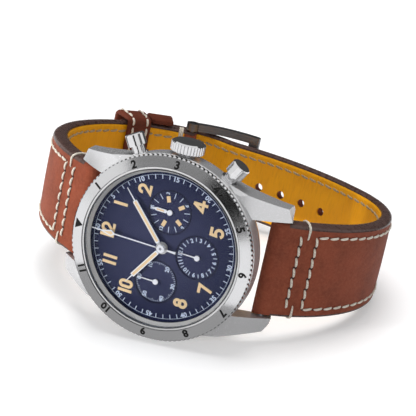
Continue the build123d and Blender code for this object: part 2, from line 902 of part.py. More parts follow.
def main_plate():
    """The base plate with its rim, pillars, lever studs and the wheels' bearings."""
    body = rod(plate_r, plate_low_z, plate_top_z)
    body += ring(plate_r, plate_rim_in_r, plate_top_z, -dial_t)
    body += rod(pivot_r, plate_top_z, hour_wheel_z + motion_wheel_t, minute_wheel_place())
    for place in pillar_places():
        body += rod(pillar_r, bridge_top_z, plate_low_z, place)
        body -= rod(screw_shank_r + pressed, bridge_top_z - overrun, bridge_top_z + screw_length, place)
    for place in (lever_pivot, mirrored(lever_pivot)):
        body += rod(lever_stud_r, lever_top_z - lever_t - running, plate_low_z, place)
    body += rod(column_stub_r, column_low_z - running, plate_low_z, column_place)
    body -= rod(centre_pipe_r + running, plate_low_z - overrun, plate_top_z + overrun)
    for place in counter_places():
        body -= rod(pivot_r + running, plate_low_z - overrun, overrun, place)
    for place in (third_place(), escape_place(), pallet_place(), balance_place):
        body -= rod(pivot_r + running, plate_low_z - overrun, plate_low_z + wheel_rim, place)
    stem_cut = radial(rod(stem_r + running, stem_in - running, plate_r + overrun), 90)
    pinion_end = winding_pinion_place + winding_pinion_length + crown_travel + lever_gap
    stem_cut += radial(rod(winding_pinion_r + lever_gap, winding_pinion_place - lever_gap, pinion_end), 90)
    body -= stem_cut
    for angle in (upper_pusher_angle, lower_pusher_angle):
        body -= radial(rod(pusher_rod_r + running, pusher_rod_start - pusher_travel - lever_gap,
                           plate_r + overrun), angle)
    return body


def train_bridge():
    """The bridge over the barrel and the wheels, open around the balance."""
    body = rod(bridge_r, bridge_low_z, bridge_top_z)
    body -= rod(balance_r + balance_pocket, bridge_low_z - overrun, bridge_top_z + overrun, balance_place)
    body -= rod(barrel_arbor_r + running, bridge_low_z - overrun, bridge_top_z + overrun, barrel_place)
    body -= rod(centre_pipe_r + running, bridge_low_z - overrun, bridge_top_z + overrun)
    bearings = counter_places() + [third_place(), escape_place(), pallet_place(), idler_place()]
    for place in bearings:
        body -= rod(pivot_r + running, bridge_low_z - overrun, bridge_top_z + overrun, place)
    for place in pillar_places() + chrono_feet() + [cock_foot()]:
        body -= rod(screw_shank_r + pressed, bridge_low_z - overrun, bridge_top_z + overrun, place)
    return body


def chronograph_bridge():
    """The three-armed bridge over the chronograph wheels."""
    centre = (0, 0)
    body = None
    for place in chrono_feet() + [counter_places()[1], idler_place()]:
        arm = link(centre, place, chrono_bridge_arm_r, chrono_bridge_low_z, chrono_bridge_top_z)
        body = arm if body is None else body + arm
    for place in chrono_feet():
        body += rod(pillar_r, chrono_bridge_low_z, bridge_low_z, place)
        body -= rod(screw_shank_r + pressed, chrono_bridge_low_z - overrun, bridge_low_z + overrun, place)
    for place in [counter_places()[1], idler_place()]:
        body -= rod(pivot_r + running, chrono_bridge_low_z - overrun, chrono_bridge_top_z + overrun, place)
    return body - rod(chrono_arbor_r + running, chrono_bridge_low_z - overrun, bridge_low_z)


def cock_foot():
    """Where the balance cock is screwed down."""
    return polar(cock_foot_ring_r, cock_foot_angle)


def balance_cock():
    """The arm that carries the outer end of the balance staff."""
    body = link(cock_foot(), balance_place, cock_width / 2, cock_low_z, cock_top_z)
    body += rod(pillar_r, cock_low_z, bridge_low_z, cock_foot())
    stud = shifted(balance_place, hairspring_out_r + hairspring_wire, bearing(balance_place, cock_foot()))
    body += rod(hairspring_wire * 2, cock_top_z, hairspring_z + hairspring_t, stud)
    body -= rod(staff_r + running, cock_low_z - overrun, cock_top_z + overrun, balance_place)
    return body - rod(screw_shank_r + pressed, cock_low_z - overrun, bridge_low_z + overrun, cock_foot())


def screw(place, seat_z):
    """A slotted screw whose head sits under a bridge face."""
    body = rod(screw_head_r, seat_z - screw_head_t, seat_z, place)
    body += rod(screw_shank_r, seat_z, seat_z + screw_length, place)
    slot = Box(2 * screw_head_r + overrun, screw_slot, screw_head_t)
    return body - Pos(*place, seat_z - screw_head_t) * slot


def movement_screws():
    """The screws of the three bridges."""
    screws = [screw(place, bridge_low_z) for place in pillar_places()]
    screws += [screw(place, chrono_bridge_low_z) for place in chrono_feet()]
    screws.append(screw(cock_foot(), cock_low_z))
    return Compound(screws)


# Going train

def barrel_angle():
    return bearing((0, 0), barrel_place)


def third_place():
    """The third wheel's centre, where it meets both the centre wheel and the fourth pinion."""
    to_centre = (centre_wheel_teeth + third_pinion_teeth) * train_module / 2
    to_fourth = (third_wheel_teeth + fourth_pinion_teeth) * train_module / 2
    return meet((0, 0), to_centre, counter_places()[2], to_fourth)


def escape_place():
    distance = (fourth_wheel_teeth + escape_pinion_teeth) * fine_module / 2
    return shifted(counter_places()[2], distance, escape_angle)


def pallet_place():
    start = escape_place()
    reach = math.dist(start, balance_place) * pallet_place_share
    return shifted(start, reach, bearing(start, balance_place))


def barrel():
    """The toothed drum that holds the mainspring."""
    tooth_low_z = barrel_tooth_top_z - barrel_tooth_t
    body = toothed(barrel_teeth, barrel_module, tooth_low_z, barrel_tooth_top_z, barrel_place,
                   barrel_angle() + 180)
    body += rod(barrel_drum_r, barrel_low_z, tooth_low_z, barrel_place)
    body -= ring(barrel_drum_r - barrel_wall, barrel_arbor_r + barrel_wall, barrel_low_z + barrel_wall,
                 tooth_low_z, barrel_place)
    return body - rod(barrel_arbor_r + running, barrel_low_z - overrun, overrun, barrel_place)


def spiral(place, inner_r, outer_r, turns, wire, low_z, height):
    """A flat spiral strip of even pitch."""
    steps = hairspring_steps * turns
    inner = []
    outer = []
    for step in range(steps + 1):
        angle = step * 360 * turns / steps
        radius = inner_r + (outer_r - inner_r) * step / steps
        inner.append(shifted(place, radius - wire / 2, angle))
        outer.append(shifted(place, radius + wire / 2, angle))
    edges = [Spline(*inner), Line(inner[-1], outer[-1]), Spline(*outer), Line(outer[0], inner[0])]
    return Pos(0, 0, low_z) * extrude(make_face(edges), height)


def ratchet_wheel():
    """The ratchet wheel on the square of the barrel arbor."""
    module = 2 * ratchet_r / ratchet_teeth
    body = toothed(ratchet_teeth, module, ratchet_z, ratchet_z + ratchet_t, barrel_place)
    return body + rod(barrel_arbor_r, ratchet_z, barrel_tooth_top_z, barrel_place)


def centre_wheel():
    """The hollow centre wheel and its pinion."""
    low_z = centre_wheel_z
    third_angle = bearing((0, 0), third_place())
    wheel = spoked(centre_wheel_teeth, train_module, low_z, low_z + wheel_t, (0, 0), third_angle,
                   2 * centre_pipe_r)
    pinion_top = barrel_tooth_top_z
    wheel += toothed(centre_pinion_teeth, barrel_module, pinion_top - barrel_tooth_t, pinion_top,
                     tooth_angle=barrel_angle() + 180 / centre_pinion_teeth)
    wheel += rod(centre_pipe_r, bridge_low_z, minute_wheel_z - running)
    return wheel - rod(chrono_arbor_r + running, bridge_low_z - overrun, overrun)


def arbor(place, low_z, high_z):
    """A wheel's slim shaft."""
    return rod(pivot_r, low_z, high_z, place)


def third_wheel():
    place = third_place()
    fourth = counter_places()[2]
    wheel = spoked(third_wheel_teeth, train_module, third_wheel_z, third_wheel_z + wheel_t, place,
                   bearing(place, fourth), 2 * pinion_t)
    pinion_low = centre_wheel_z - (pinion_t - wheel_t) / 2
    wheel += toothed(third_pinion_teeth, train_module, pinion_low, pinion_low + pinion_t, place,
                     bearing(place, (0, 0)) + 180 / third_pinion_teeth)
    return wheel + arbor(place, bridge_low_z, plate_low_z + wheel_rim)


def fourth_wheel():
    """The fourth wheel, whose long shaft carries the small seconds hand."""
    place = counter_places()[2]
    wheel = spoked(fourth_wheel_teeth, fine_module, fourth_wheel_z, fourth_wheel_z + wheel_t, place,
                   bearing(place, escape_place()), 2 * pinion_t)
    pinion_low = third_wheel_z - (pinion_t - wheel_t) / 2
    wheel += toothed(fourth_pinion_teeth, train_module, pinion_low, pinion_low + pinion_t, place,
                     bearing(place, third_place()) + 180 / fourth_pinion_teeth)
    return wheel + arbor(place, bridge_low_z, small_hand_z + hand_t)


def escape_wheel():
    """The escape wheel with its hooked teeth."""
    place = escape_place()
    step = 360 / escape_teeth
    points = []
    for tooth in range(escape_teeth):
        points.append(shifted(place, escape_r, tooth * step))
        points.append(shifted(place, escape_r * escape_root_share, (tooth + escape_hook_share) * step))
        points.append(shifted(place, escape_r * escape_root_share, (tooth + escape_back_share) * step))
    wheel = plate(points, escape_wheel_z, escape_wheel_z + wheel_t)
    pinion_low = fourth_wheel_z - (pinion_t - wheel_t) / 2
    wheel += toothed(escape_pinion_teeth, fine_module, pinion_low, pinion_low + pinion_t, place,
                     bearing(place, counter_places()[2]) + 180 / escape_pinion_teeth)
    return wheel + arbor(place, bridge_low_z, plate_low_z + wheel_rim)


def pallet_fork():
    """The anchor with two stones and a fork."""
    place = pallet_place()
    to_balance = bearing(place, balance_place)
    high_z = pallet_z + pallet_t
    body = link(place, shifted(place, pallet_fork_length, to_balance), pallet_arm_width / 2, pallet_z, high_z)
    for side in (-1, 1):
        end = shifted(place, pallet_span, to_balance + side * pallet_spread)
        body += link(place, end, pallet_arm_width / 2, pallet_z, high_z)
    return body + arbor(place, bridge_low_z, plate_low_z + wheel_rim)


def balance_wheel():
    """The balance with two arms, its staff and roller."""
    low_z = balance_z
    high_z = balance_z + balance_t
    body = ring(balance_r, balance_r - balance_rim, low_z, high_z, balance_place)
    for angle in (0, 180):
        end = shifted(balance_place, balance_r - balance_rim / 2, angle)
        body += link(balance_place, end, spoke_width / 2, low_z, high_z)
    body += rod(staff_r * 2, low_z, high_z, balance_place)
    body += rod(staff_r, staff_low_z - wheel_rim, low_z, balance_place)
    body += rod(pivot_r, low_z, plate_low_z + wheel_rim, balance_place)
    roller_z = pallet_z - roller_t - lever_gap
    return body + rod(roller_r, roller_z, roller_z + roller_t, balance_place)


def hairspring():
    """The flat spiral spring of the balance."""
    return spiral(balance_place, hairspring_in_r, hairspring_out_r, hairspring_turns, hairspring_wire,
                  hairspring_z, hairspring_t)


# Chronograph work

def idler_place():
    """The intermediate wheel's centre, between the centre and the minute counter."""
    to_centre = (chrono_pinion_teeth + idler_wheel_teeth) * chrono_module / 2
    to_counter = (idler_pinion_teeth + counter_wheel_teeth) * chrono_module / 2
    return meet(counter_places()[0], to_counter, (0, 0), to_centre)


def chrono_wheel():
    """The chronograph runner: wheel, pinion and the long arbor of the centre hand."""
    module = 2 * chrono_wheel_r / chrono_wheel_teeth
    wheel = spoked(chrono_wheel_teeth, module, chrono_wheel_z, chrono_wheel_z + wheel_t, (0, 0), 0,
                   2 * chrono_arbor_r)
    wheel += toothed(chrono_pinion_teeth, chrono_module, idler_wheel_z, idler_wheel_z + wheel_t,
                     tooth_angle=bearing((0, 0), idler_place()))
    return wheel + rod(chrono_arbor_r, chrono_bridge_low_z, chrono_hand_z + hand_t)


def chrono_idler():
    """The intermediate wheel of the minute counter."""
    place = idler_place()
    to_centre = bearing(place, (0, 0))
    wheel = spoked(idler_wheel_teeth, chrono_module, idler_wheel_z, idler_wheel_z + wheel_t, place,
                   to_centre + 180 / idler_wheel_teeth, 2 * pinion_t)
    wheel += toothed(idler_pinion_teeth, chrono_module, chrono_wheel_z, chrono_wheel_z + pinion_t, place,
                     bearing(place, counter_places()[0]))
    return wheel + arbor(place, chrono_bridge_low_z, bridge_top_z)


def minute_counter_wheel():
    """The minute counter's wheel, whose long arbor turns in the train bridge and the main plate."""
    place = counter_places()[0]
    wheel = spoked(counter_wheel_teeth, chrono_module, chrono_wheel_z, chrono_wheel_z + wheel_t, place,
                   bearing(place, idler_place()) + 180 / counter_wheel_teeth, 2 * pinion_t)
    return wheel + arbor(place, chrono_wheel_z, small_hand_z + hand_t)


def hour_counter_wheel():
    place = counter_places()[1]
    module = 2 * hour_counter_wheel_r / hour_counter_teeth
    wheel = spoked(hour_counter_teeth, module, chrono_wheel_z, chrono_wheel_z + wheel_t, place, 0,
                   2 * pinion_t)
    return wheel + arbor(place, chrono_bridge_low_z, small_hand_z + hand_t)


def column_wheel():
    """The column wheel: a ratchet disc with six pillars."""
    low_z = column_low_z
    module = 2 * column_r / (2 * column_count)
    body = toothed(2 * column_count, module, low_z, low_z + column_ratchet_t, column_place)
    ring_r = column_r * column_ring_share
    body += ring(ring_r, column_stub_r + running, low_z + column_ratchet_t, column_top_z, column_place)
    for column in range(column_count):
        angle = column * 360 / column_count
        slot = Box(column_r, column_r * column_slot_share, column_top_z - low_z)
        place = shifted(column_place, ring_r, angle)
        body -= Pos(*place, column_top_z) * Rot(0, 0, angle) * slot
    return body - rod(column_stub_r + running, low_z - overrun, overrun, column_place)


def lever(pivot, nose, pusher_angle):
    """A bell-crank lever from its stud to the pusher's pad and on to its nose."""
    low_z = lever_top_z - lever_t
    pad = polar(lever_pad_ring_r - lever_width / 2, pusher_angle)
    body = link(pivot, pad, lever_width / 2, low_z, lever_top_z)
    body += link(pad, nose, lever_arm_width / 2, low_z, lever_top_z)
    body += rod(lever_boss_r, low_z, lever_top_z, pivot)
    return body - rod(lever_stud_r + running, low_z - overrun, lever_top_z + overrun, pivot)


def operating_lever():
    return lever(lever_pivot, lever_nose, upper_pusher_angle)


def reset_hammer():
    return lever(mirrored(lever_pivot), mirrored(lever_nose), lower_pusher_angle)


# Crown and pushers

def crown():
    """The fluted crown with a plain domed cap, hollow underneath for its tube."""
    blank = beaded(crown_r, crown_flute, crown_flutes, crown_base, crown_rim + crown_cap_rise)
    cap_z = crown_rim + crown_cap_rise
    shape = turned([(0, crown_base), (crown_r - crown_flute, crown_base), (crown_r, crown_base + crown_flute),
                    (crown_r, crown_rim - crown_bevel), (crown_cap_r, crown_rim), (0, cap_z)])
    body = blank & shape
    body -= rod(crown_hollow_r, crown_base - overrun, crown_base + crown_hollow_depth)
    body -= rod(stem_r, crown_base, crown_base + crown_hollow_depth + stem_screw)
    return radial(body, 90)


def winding_stem():
    """The stem with its groove for the setting fork and its winding pinion."""
    end = crown_base + crown_hollow_depth + stem_screw
    body = rod(stem_r, stem_in, end)
    groove_low = stem_groove_place - stem_groove_width / 2
    body -= ring(stem_r + overrun, stem_groove_r, groove_low, groove_low + stem_groove_width)
    module = 2 * winding_pinion_r / (winding_pinion_teeth + 2)
    pinion_end = winding_pinion_place + winding_pinion_length
    body += toothed(winding_pinion_teeth, module, winding_pinion_place, pinion_end)
    return radial(body, 90)


def setting_fork():
    """The forked plate that rides in the stem's groove and moves in and out with it."""
    half_t = setting_fork_t / 2
    slot = stem_groove_r + running
    depth = stem_z - setting_fork_low_z
    body = Box(depth, setting_fork_width, setting_fork_t, align=(Align.MIN, Align.CENTER, Align.CENTER))
    body -= rod(slot, -overrun, overrun)
    body = Pos(0, 0, stem_groove_place) * body
    return radial(body, 90) - radial(rod(slot, stem_groove_place - half_t - overrun, crown_base), 90)


def pusher(angle):
    """A chronograph pusher: cap, stem and the thin rod that reaches its lever."""
    body = turned([
        (0, pusher_rod_start), (pusher_rod_r / 2, pusher_rod_start),
        (pusher_rod_r, pusher_rod_start + pusher_rod_r / 2), (pusher_rod_r, pusher_stem_start),
        (pusher_stem_r, pusher_stem_start), (pusher_stem_r, pusher_cap_start),
        (pusher_cap_r, pusher_cap_start), (pusher_cap_r, pusher_cap_end - pusher_cap_bevel),
        (pusher_cap_r - pusher_cap_bevel, pusher_cap_end), (0, pusher_cap_end)])
    return radial(body, angle)


def case_tubes():
    """The pressed-in crown tube and the two pusher tubes, whose floors carry the springs."""
    tubes = [radial(ring(crown_tube_r, stem_r + running, cavity_r + running, crown_tube_end), 90)]
    floor_end = pusher_tube_start + pusher_tube_floor
    for angle in (upper_pusher_angle, lower_pusher_angle):
        tube = ring(pusher_tube_r, pusher_stem_r + running, floor_end, pusher_tube_end)
        tube += ring(pusher_tube_r, pusher_rod_r + running, pusher_tube_start, floor_end)
        tubes.append(radial(tube, angle))
    return Compound(tubes)


def pusher_springs():
    """The coil springs under the pushers, at the length that they have when pressed."""
    springs = []
    height = spring_pitch * spring_turns
    start = pusher_tube_start + pusher_tube_floor + spring_wire_r
    path = Helix(spring_pitch, height, spring_coil_r)
    section = Plane(origin=path @ 0, z_dir=path % 0) * Circle(spring_wire_r)
    coil = Pos(0, 0, start) * sweep(section, path=path)
    for angle in (upper_pusher_angle, lower_pusher_angle):
        springs.append(radial(coil, angle))
    return Compound(springs)


# Strap

def walk(start, heading, arcs, side):
    """Tangent arcs from a place: each leg has its start, centre, radius, heading and turning side."""
    place = start
    legs = []
    distance = 0
    for radius, turn in arcs:
        centre = shifted(place, radius, heading + side * 90)
        legs.append((distance, centre, radius, heading, side))
        distance += radius * math.radians(turn)
        heading += side * turn
        place = shifted(centre, radius, heading - side * 90)
    return {"legs": legs, "length": distance, "side": side, "end": place, "end_heading": heading}


def station(path, distance):
    """Place and heading at a distance along a path of arcs."""
    start, centre, radius, heading, side = [leg for leg in path["legs"] if leg[0] <= max(distance, 0)][-1]
    heading += side * math.degrees((distance - start) / radius)
    x, z = shifted(centre, radius, heading - side * 90)
    return x, z, heading


def short_path():
    """The middle of the 12 o'clock strap, from its lug bar to the buckle bar."""
    return walk((-bar_x, bar_z), short_heading, short_arcs, 1)


def ply_step():
    """How far the tail lies outside the short strap, middle to middle."""
    return strap_eye_r + leather_gap + strap_thin_t / 2


def long_path():
    """The middle of the 6 o'clock strap, which dips inside the buckle and lies over the short strap."""
    path = walk((bar_x, bar_z), long_heading, long_arcs, -1)
    heading = path["end_heading"]
    distance = path["length"]
    flat = shifted(path["end"], long_flat_r, heading - 90)
    centre, radius = short_path()["legs"][-1][1:3]
    tail_r = radius + ply_step()
    over_bar = bearing(centre, short_path()["end"])
    bend = shifted(centre, tail_r - bend_r, over_bar)
    dip = meet(flat, long_flat_r + dip_r, bend, bend_r + dip_r)
    for middle, leg_r, side, stop in ((flat, long_flat_r, -1, bearing(flat, dip) - 90),
                                      (dip, dip_r, 1, bearing(bend, dip) - 90),
                                      (bend, bend_r, -1, over_bar - 90)):
        path["legs"].append((distance, middle, leg_r, heading, side))
        turn = side * (stop - heading) % 360
        distance += leg_r * math.radians(turn)
        heading += side * turn
    path["legs"].append((distance, centre, tail_r, heading, -1))
    path["length"] = distance + tail_length
    return path


def strap_thickness(distance):
    """The padded strap thins from the lug to the buckle."""
    share = min(max(distance / strap_taper_length, 0), 1)
    smooth = share * share * (3 - 2 * share)
    return strap_t + (strap_thin_t - strap_t) * smooth


def outward(path, distance, offset):
    """A place beside a path, at a distance from its middle towards the outside of the loop."""
    x, z, heading = station(path, distance)
    normal = math.radians(heading - path["side"] * 90)
    return (x + offset * math.cos(normal), z + offset * math.sin(normal))


def band(path, start, end, low, high):
    """A slab of strap between two distances, its faces at two shares of the half thickness."""
    count = max(2, math.ceil((end - start) / strap_station))
    stations = [start + (end - start) * step / count for step in range(count + 1)]
    inner = [outward(path, place, low(place)) for place in stations]
    outer = [outward(path, place, high(place)) for place in stations]
    edges = [Spline(*inner), Line(inner[-1], outer[-1]), Spline(*outer), Line(outer[0], inner[0])]
    return extrude(Plane.XZ * make_face(edges), strap_width, both=True)


def half_width(z):
    """Half the strap's width at a height below the dial."""
    depth = (bar_z - z) / (bar_z - short_path()["end"][1])
    return (strap_width + (strap_end_width - strap_width) * depth) / 2


def strap_taper():
    """The wedge that narrows both straps towards the buckle."""
    low_z = short_path()["end"][1] - tail_length
    high_z = bar_z + strap_t
    points = [(half_width(high_z), high_z), (half_width(low_z), low_z), (-half_width(low_z), low_z),
              (-half_width(high_z), high_z)]
    face = Plane.YZ * make_face(Polyline(*points, close=True))
    return extrude(face, long_flat_r, both=True)


def across(place, radius, length=2 * strap_width):
    """A round bar across the strap at a place in the loop."""
    return Pos(place[0], 0, place[1]) * Rot(90, 0, 0) * Cylinder(radius, length)


def whole(distance):
    return strap_thickness(distance) / 2


def lining_face(distance):
    return lining_t - strap_thickness(distance) / 2


def inside_face(distance):
    return -strap_thickness(distance) / 2


def hole_places():
    """Distances of the buckle holes along the long strap."""
    return [tongue_station() + hole_spacing * (index - hole_count + 1) for index in range(hole_count)]


def tongue_station():
    """Distance along the long strap to the hole that the tongue is in."""
    return long_path()["legs"][-1][0] - tongue_hole_back


def hole_cutter(distance, length):
    """A round or long hole through the long strap."""
    path = long_path()
    x, z, heading = station(path, distance)
    lay = Pos(x, 0, z) * Rot(0, -heading, 0)
    if length > 2 * hole_r:
        face = SlotOverall(length, 2 * hole_r)
    else:
        face = Circle(hole_r)
    return lay * extrude(face, strap_t, both=True)


def long_strap_pieces():
    """The 6 o'clock strap: leather with its eye, and its lining."""
    path = long_path()
    end = path["length"]
    body = band(path, 0, end, inside_face, whole)
    body += across((bar_x, bar_z), strap_t / 2)
    body -= across((bar_x, bar_z), bar_r + running)
    body &= strap_taper()
    tip = station(path, end)[:2]
    near = [edge for edge in body.edges()
            if math.dist((edge.center().X, edge.center().Z), tip) < strap_thin_t]
    body = fillet([edge for edge in near if edge.length < 2 * strap_thin_t], tail_round)
    for index, distance in enumerate(hole_places()):
        used = index == hole_count - 1
        body -= hole_cutter(distance, tongue_hole_length if used else 2 * hole_r)
    lining = body & band(path, lining_start, end + overrun, lambda place: inside_face(place) - overrun,
                         lining_face)
    leather = body - band(path, lining_start, end + overrun, lambda place: inside_face(place) - overrun,
                          lining_face)
    return leather, lining


def short_strap_pieces():
    """The 12 o'clock strap: leather with an eye at each end, and its lining."""
    path = short_path()
    end = path["length"]
    body = band(path, 0, end, inside_face, whole)
    body += across((-bar_x, bar_z), strap_t / 2)
    body -= across((-bar_x, bar_z), bar_r + running)
    body += across(path["end"], strap_eye_r)
    body -= across(path["end"], buckle_bar_r + running)
    body &= strap_taper()
    slot = Box(2 * slot_length, slot_width, 2 * strap_t)
    body -= Pos(path["end"][0], 0, path["end"][1]) * Rot(0, -path["end_heading"], 0) * slot
    lining_end = end - strap_eye_r - leather_gap
    under = band(path, lining_start, lining_end, lambda place: inside_face(place) - overrun, lining_face)
    return body - under, body & under


def level_box(low, high, half):
    """A section across the strap between two levels beside the short strap's middle."""
    radius = short_path()["legs"][-1][2]
    return Pos(radius + (low + high) / 2, 0) * Rectangle(high - low, 2 * half)


def bent(section, distance, width):
    """A section carried along the short strap's last arc, about a distance along the strap."""
    x, z = station(short_path(), distance)[:2]
    centre, radius = short_path()["legs"][-1][1:3]
    across_x = (x - centre[0], 0, z - centre[1])
    plane = Plane(origin=(centre[0], 0, centre[1]), x_dir=across_x, z_dir=(-across_x[2], 0, across_x[0]))
    turn = math.degrees(width / radius)
    body = revolve(plane * section, Axis((centre[0], 0, centre[1]), (0, 1, 0)), turn)
    return Pos(centre[0], 0, centre[1]) * Rot(0, -turn / 2, 0) * Pos(-centre[0], 0, -centre[1]) * body


def keeper_levels():
    """The inner and outer leather faces that a keeper goes round, from the short strap's middle."""
    return -strap_thin_t / 2, ply_step() + strap_thin_t / 2


def keeper_half(distance):
    """Half the inside width of a keeper."""
    return half_width(station(short_path(), distance)[1]) + keeper_clearance


def fixed_keeper_station():
    return short_path()["length"] - fixed_keeper_back - fixed_keeper_width / 2


def floating_keeper_station():
    return fixed_keeper_station() - (fixed_keeper_width + keeper_width) / 2 - keeper_spacing


def fixed_keeper():
    """The keeper over the tail, its feet sewn to the short strap's edges."""
    low, high = keeper_levels()
    place = fixed_keeper_station()
    half = keeper_half(place)
    top = high + keeper_clearance
    cover = level_box(low, top + keeper_t, half + keeper_t) - level_box(low - overrun, top, half)
    feet = bent(level_box(low, -low, half + keeper_t), place, fixed_keeper_width) - strap_taper()
    return bent(cover, place, fixed_keeper_width) + feet


def floating_keeper():
    """The loose keeper that slides along the strap."""
    low, high = keeper_levels()
    place = floating_keeper_station()
    half = keeper_half(place)
    bottom = low - keeper_clearance
    top = high + keeper_clearance
    loop = level_box(bottom - keeper_t, top + keeper_t, half + keeper_t) - level_box(bottom, top, half)
    return bent(loop, place, keeper_width)


# Buckle

def buckle_half():
    """Half the buckle's width over its arms."""
    return half_width(short_path()["end"][1]) + leather_gap + frame_arm_width


def buckle_bar():
    """The sprung bar of the buckle."""
    return across(short_path()["end"], buckle_bar_r, 2 * (buckle_half() - bar_tip_depth))


def frame_end():
    """The middle of the buckle's end bar."""
    bar = short_path()["end"]
    return (bar[0] + frame_reach, bar[1] - frame_drop)


def buckle_curve(offset):
    """The buckle's bowed side line, moved out by an offset."""
    bar = short_path()["end"]
    end = frame_end()
    middle = ((bar[0] + end[0]) / 2, (bar[1] + end[1]) / 2 - frame_bow)
    centre_line = ThreePointArc(bar, middle, end)
    centre = centre_line.arc_center
    radius = centre_line.radius + offset
    return [shifted((centre.X, centre.Y), radius, bearing((centre.X, centre.Y), place))
            for place in (bar, middle, end)]


def buckle_frame():
    """The polished buckle frame, bowed to follow the wrist."""
    outer = buckle_curve(frame_t / 2)
    inner = buckle_curve(-frame_t / 2)
    side = [ThreePointArc(*outer), Line(outer[-1], inner[-1]), ThreePointArc(*inner),
            Line(inner[0], outer[0])]
    body = extrude(Plane.XZ * make_face(side), buckle_half(), both=True)
    body += across(short_path()["end"], buckle_boss_r, 2 * buckle_half())
    body += across(frame_end(), frame_t / 2, 2 * buckle_half())
    bar = short_path()["end"]
    opening_end = frame_end()[0] + frame_t / 2 - frame_end_width
    opening = Box(opening_end - bar[0] + 2 * buckle_boss_r + overrun, 2 * (buckle_half() - frame_arm_width),
                  2 * frame_reach, align=(Align.MAX, Align.CENTER, Align.CENTER))
    body -= Pos(opening_end, 0, bar[1]) * opening
    return body - across(bar, buckle_bar_r + running)


def buckle_tongue():
    """The tongue: a ring on the bar, a shank through the straps and a flat blade."""
    bar = short_path()["end"]
    path = long_path()
    knee = outward(path, tongue_station(), strap_thin_t / 2 + tongue_gap + tongue_t / 2)
    lowest = ThreePointArc(*buckle_curve(frame_t / 2)).bounding_box().min.Y
    tip = (frame_end()[0] + frame_t / 2 + tongue_overhang, lowest - tongue_gap - tongue_t / 2)
    shape = Pos(*bar) * Circle(tongue_ring_r)
    for start, end in ((bar, knee), (knee, tip)):
        length = math.dist(start, end)
        flat = Pos(length / 2, 0) * SlotCenterToCenter(length, tongue_t)
        shape += Pos(*start) * Rot(0, 0, bearing(start, end)) * flat
    shape -= Pos(*bar) * Circle(buckle_bar_r + running)
    return extrude(Plane.XZ * shape, tongue_width / 2, both=True)


# The watch lies on its 9 o'clock side

def resting_turns():
    """The roll and the lean at which case, strap edge and buckle all touch the ground."""
    path = long_path()
    edge = []
    for step in range(int(path["legs"][-1][0])):
        x, z = outward(path, step, strap_thickness(step) / 2)
        edge.append((x, -half_width(z), z))
    end = frame_end()
    corner = (end[0], -buckle_half(), end[1])

    def lean_for(roll):
        side = math.tan(math.radians(roll))
        rim = case_r * math.hypot(1, side)
        return (rim + corner[1] + side * corner[0]) / (flank_low_z - corner[2])

    def strap_clear(roll):
        side = math.tan(math.radians(roll))
        lean = lean_for(roll)
        ground = -case_r * math.hypot(1, side) + lean * flank_low_z
        return min(side * x + y + lean * z for x, y, z in edge) - ground

    low, high = -roll_limit, 0.0
    for _ in range(halvings):
        middle = (low + high) / 2
        if strap_clear(middle) < 0:
            low = middle
        else:
            high = middle
    lean = math.degrees(math.atan(lean_for(high) * math.cos(math.radians(high))))
    return high, lean


long_leather, long_lining = long_strap_pieces()
short_leather, short_lining = short_strap_pieces()
pieces = {
    "case_middle": case_middle(),
    "caseback": caseback(),
    "gaskets": gaskets(),
    "spring_bars": spring_bars(),
    "bezel": bezel(),
    "bezel_spring": bezel_spring(),
    "crystal": crystal(),
    "flange_ring": flange_ring(),
    "dial": dial(),
    "lume_numerals": lume_numerals(),
    "hour_hand": hour_hand(),
    "hour_lume": hour_lume(),
    "minute_hand": minute_hand(),
    "minute_lume": minute_lume(),
    "chrono_hand": chrono_hand(),
    "minute_counter_hand": minute_counter_hand(),
    "hour_counter_hand": hour_counter_hand(),
    "seconds_hand": seconds_hand(),
    "hour_wheel": hour_wheel(),
    "cannon_pinion": cannon_pinion(),
    "minute_wheel": minute_wheel(),
    "movement_holder": movement_holder(),
    "main_plate": main_plate(),
    "train_bridge": train_bridge(),
    "chronograph_bridge": chronograph_bridge(),
    "balance_cock": balance_cock(),
    "movement_screws": movement_screws(),
    "barrel": barrel(),
    "ratchet_wheel": ratchet_wheel(),
    "centre_wheel": centre_wheel(),
    "third_wheel": third_wheel(),
    "fourth_wheel": fourth_wheel(),
    "escape_wheel": escape_wheel(),
    "pallet_fork": pallet_fork(),
    "balance_wheel": balance_wheel(),
    "hairspring": hairspring(),
    "chrono_wheel": chrono_wheel(),
    "chrono_idler": chrono_idler(),
    "minute_counter_wheel": minute_counter_wheel(),
    "hour_counter_wheel": hour_counter_wheel(),
    "column_wheel": column_wheel(),
    "operating_lever": operating_lever(),
    "reset_hammer": reset_hammer(),
    "crown": crown(),
    "winding_stem": winding_stem(),
    "setting_fork": setting_fork(),
    "upper_pusher": pusher(upper_pusher_angle),
    "lower_pusher": pusher(lower_pusher_angle),
    "case_tubes": case_tubes(),
    "pusher_springs": pusher_springs(),
    "long_strap": long_leather,
    "long_strap_lining": long_lining,
    "short_strap": short_leather,
    "short_strap_lining": short_lining,
    "fixed_keeper": fixed_keeper(),
    "floating_keeper": floating_keeper(),
    "buckle_frame": buckle_frame(),
    "buckle_tongue": buckle_tongue(),
    "buckle_bar": buckle_bar(),
}
roll, lean = resting_turns()
turn = Rot(90 - lean, 0, 0) * Rot(0, 0, roll)
box = Compound([turn * shape for shape in pieces.values()]).bounding_box()
shift = (-box.center().X, -box.center().Y, -box.min.Z)
laid = Pos(*shift) * turn
print("nodes", len(pieces), "roll", round(roll, 4), "lean", round(lean, 4))
print("travel of keeper, buckle and tongue", keeper_travel, frame_lift, tongue_lift)
print("shift", [round(value, 4) for value in shift], "size", box.size)

if __name__ == "__main__":
    os.makedirs("parts", exist_ok=True)
    for name, shape in pieces.items():
        placed = [laid * solid for solid in shape.solids()]
        export_step(placed[0] if len(placed) == 1 else Compound(placed), f"parts/{name}.step")
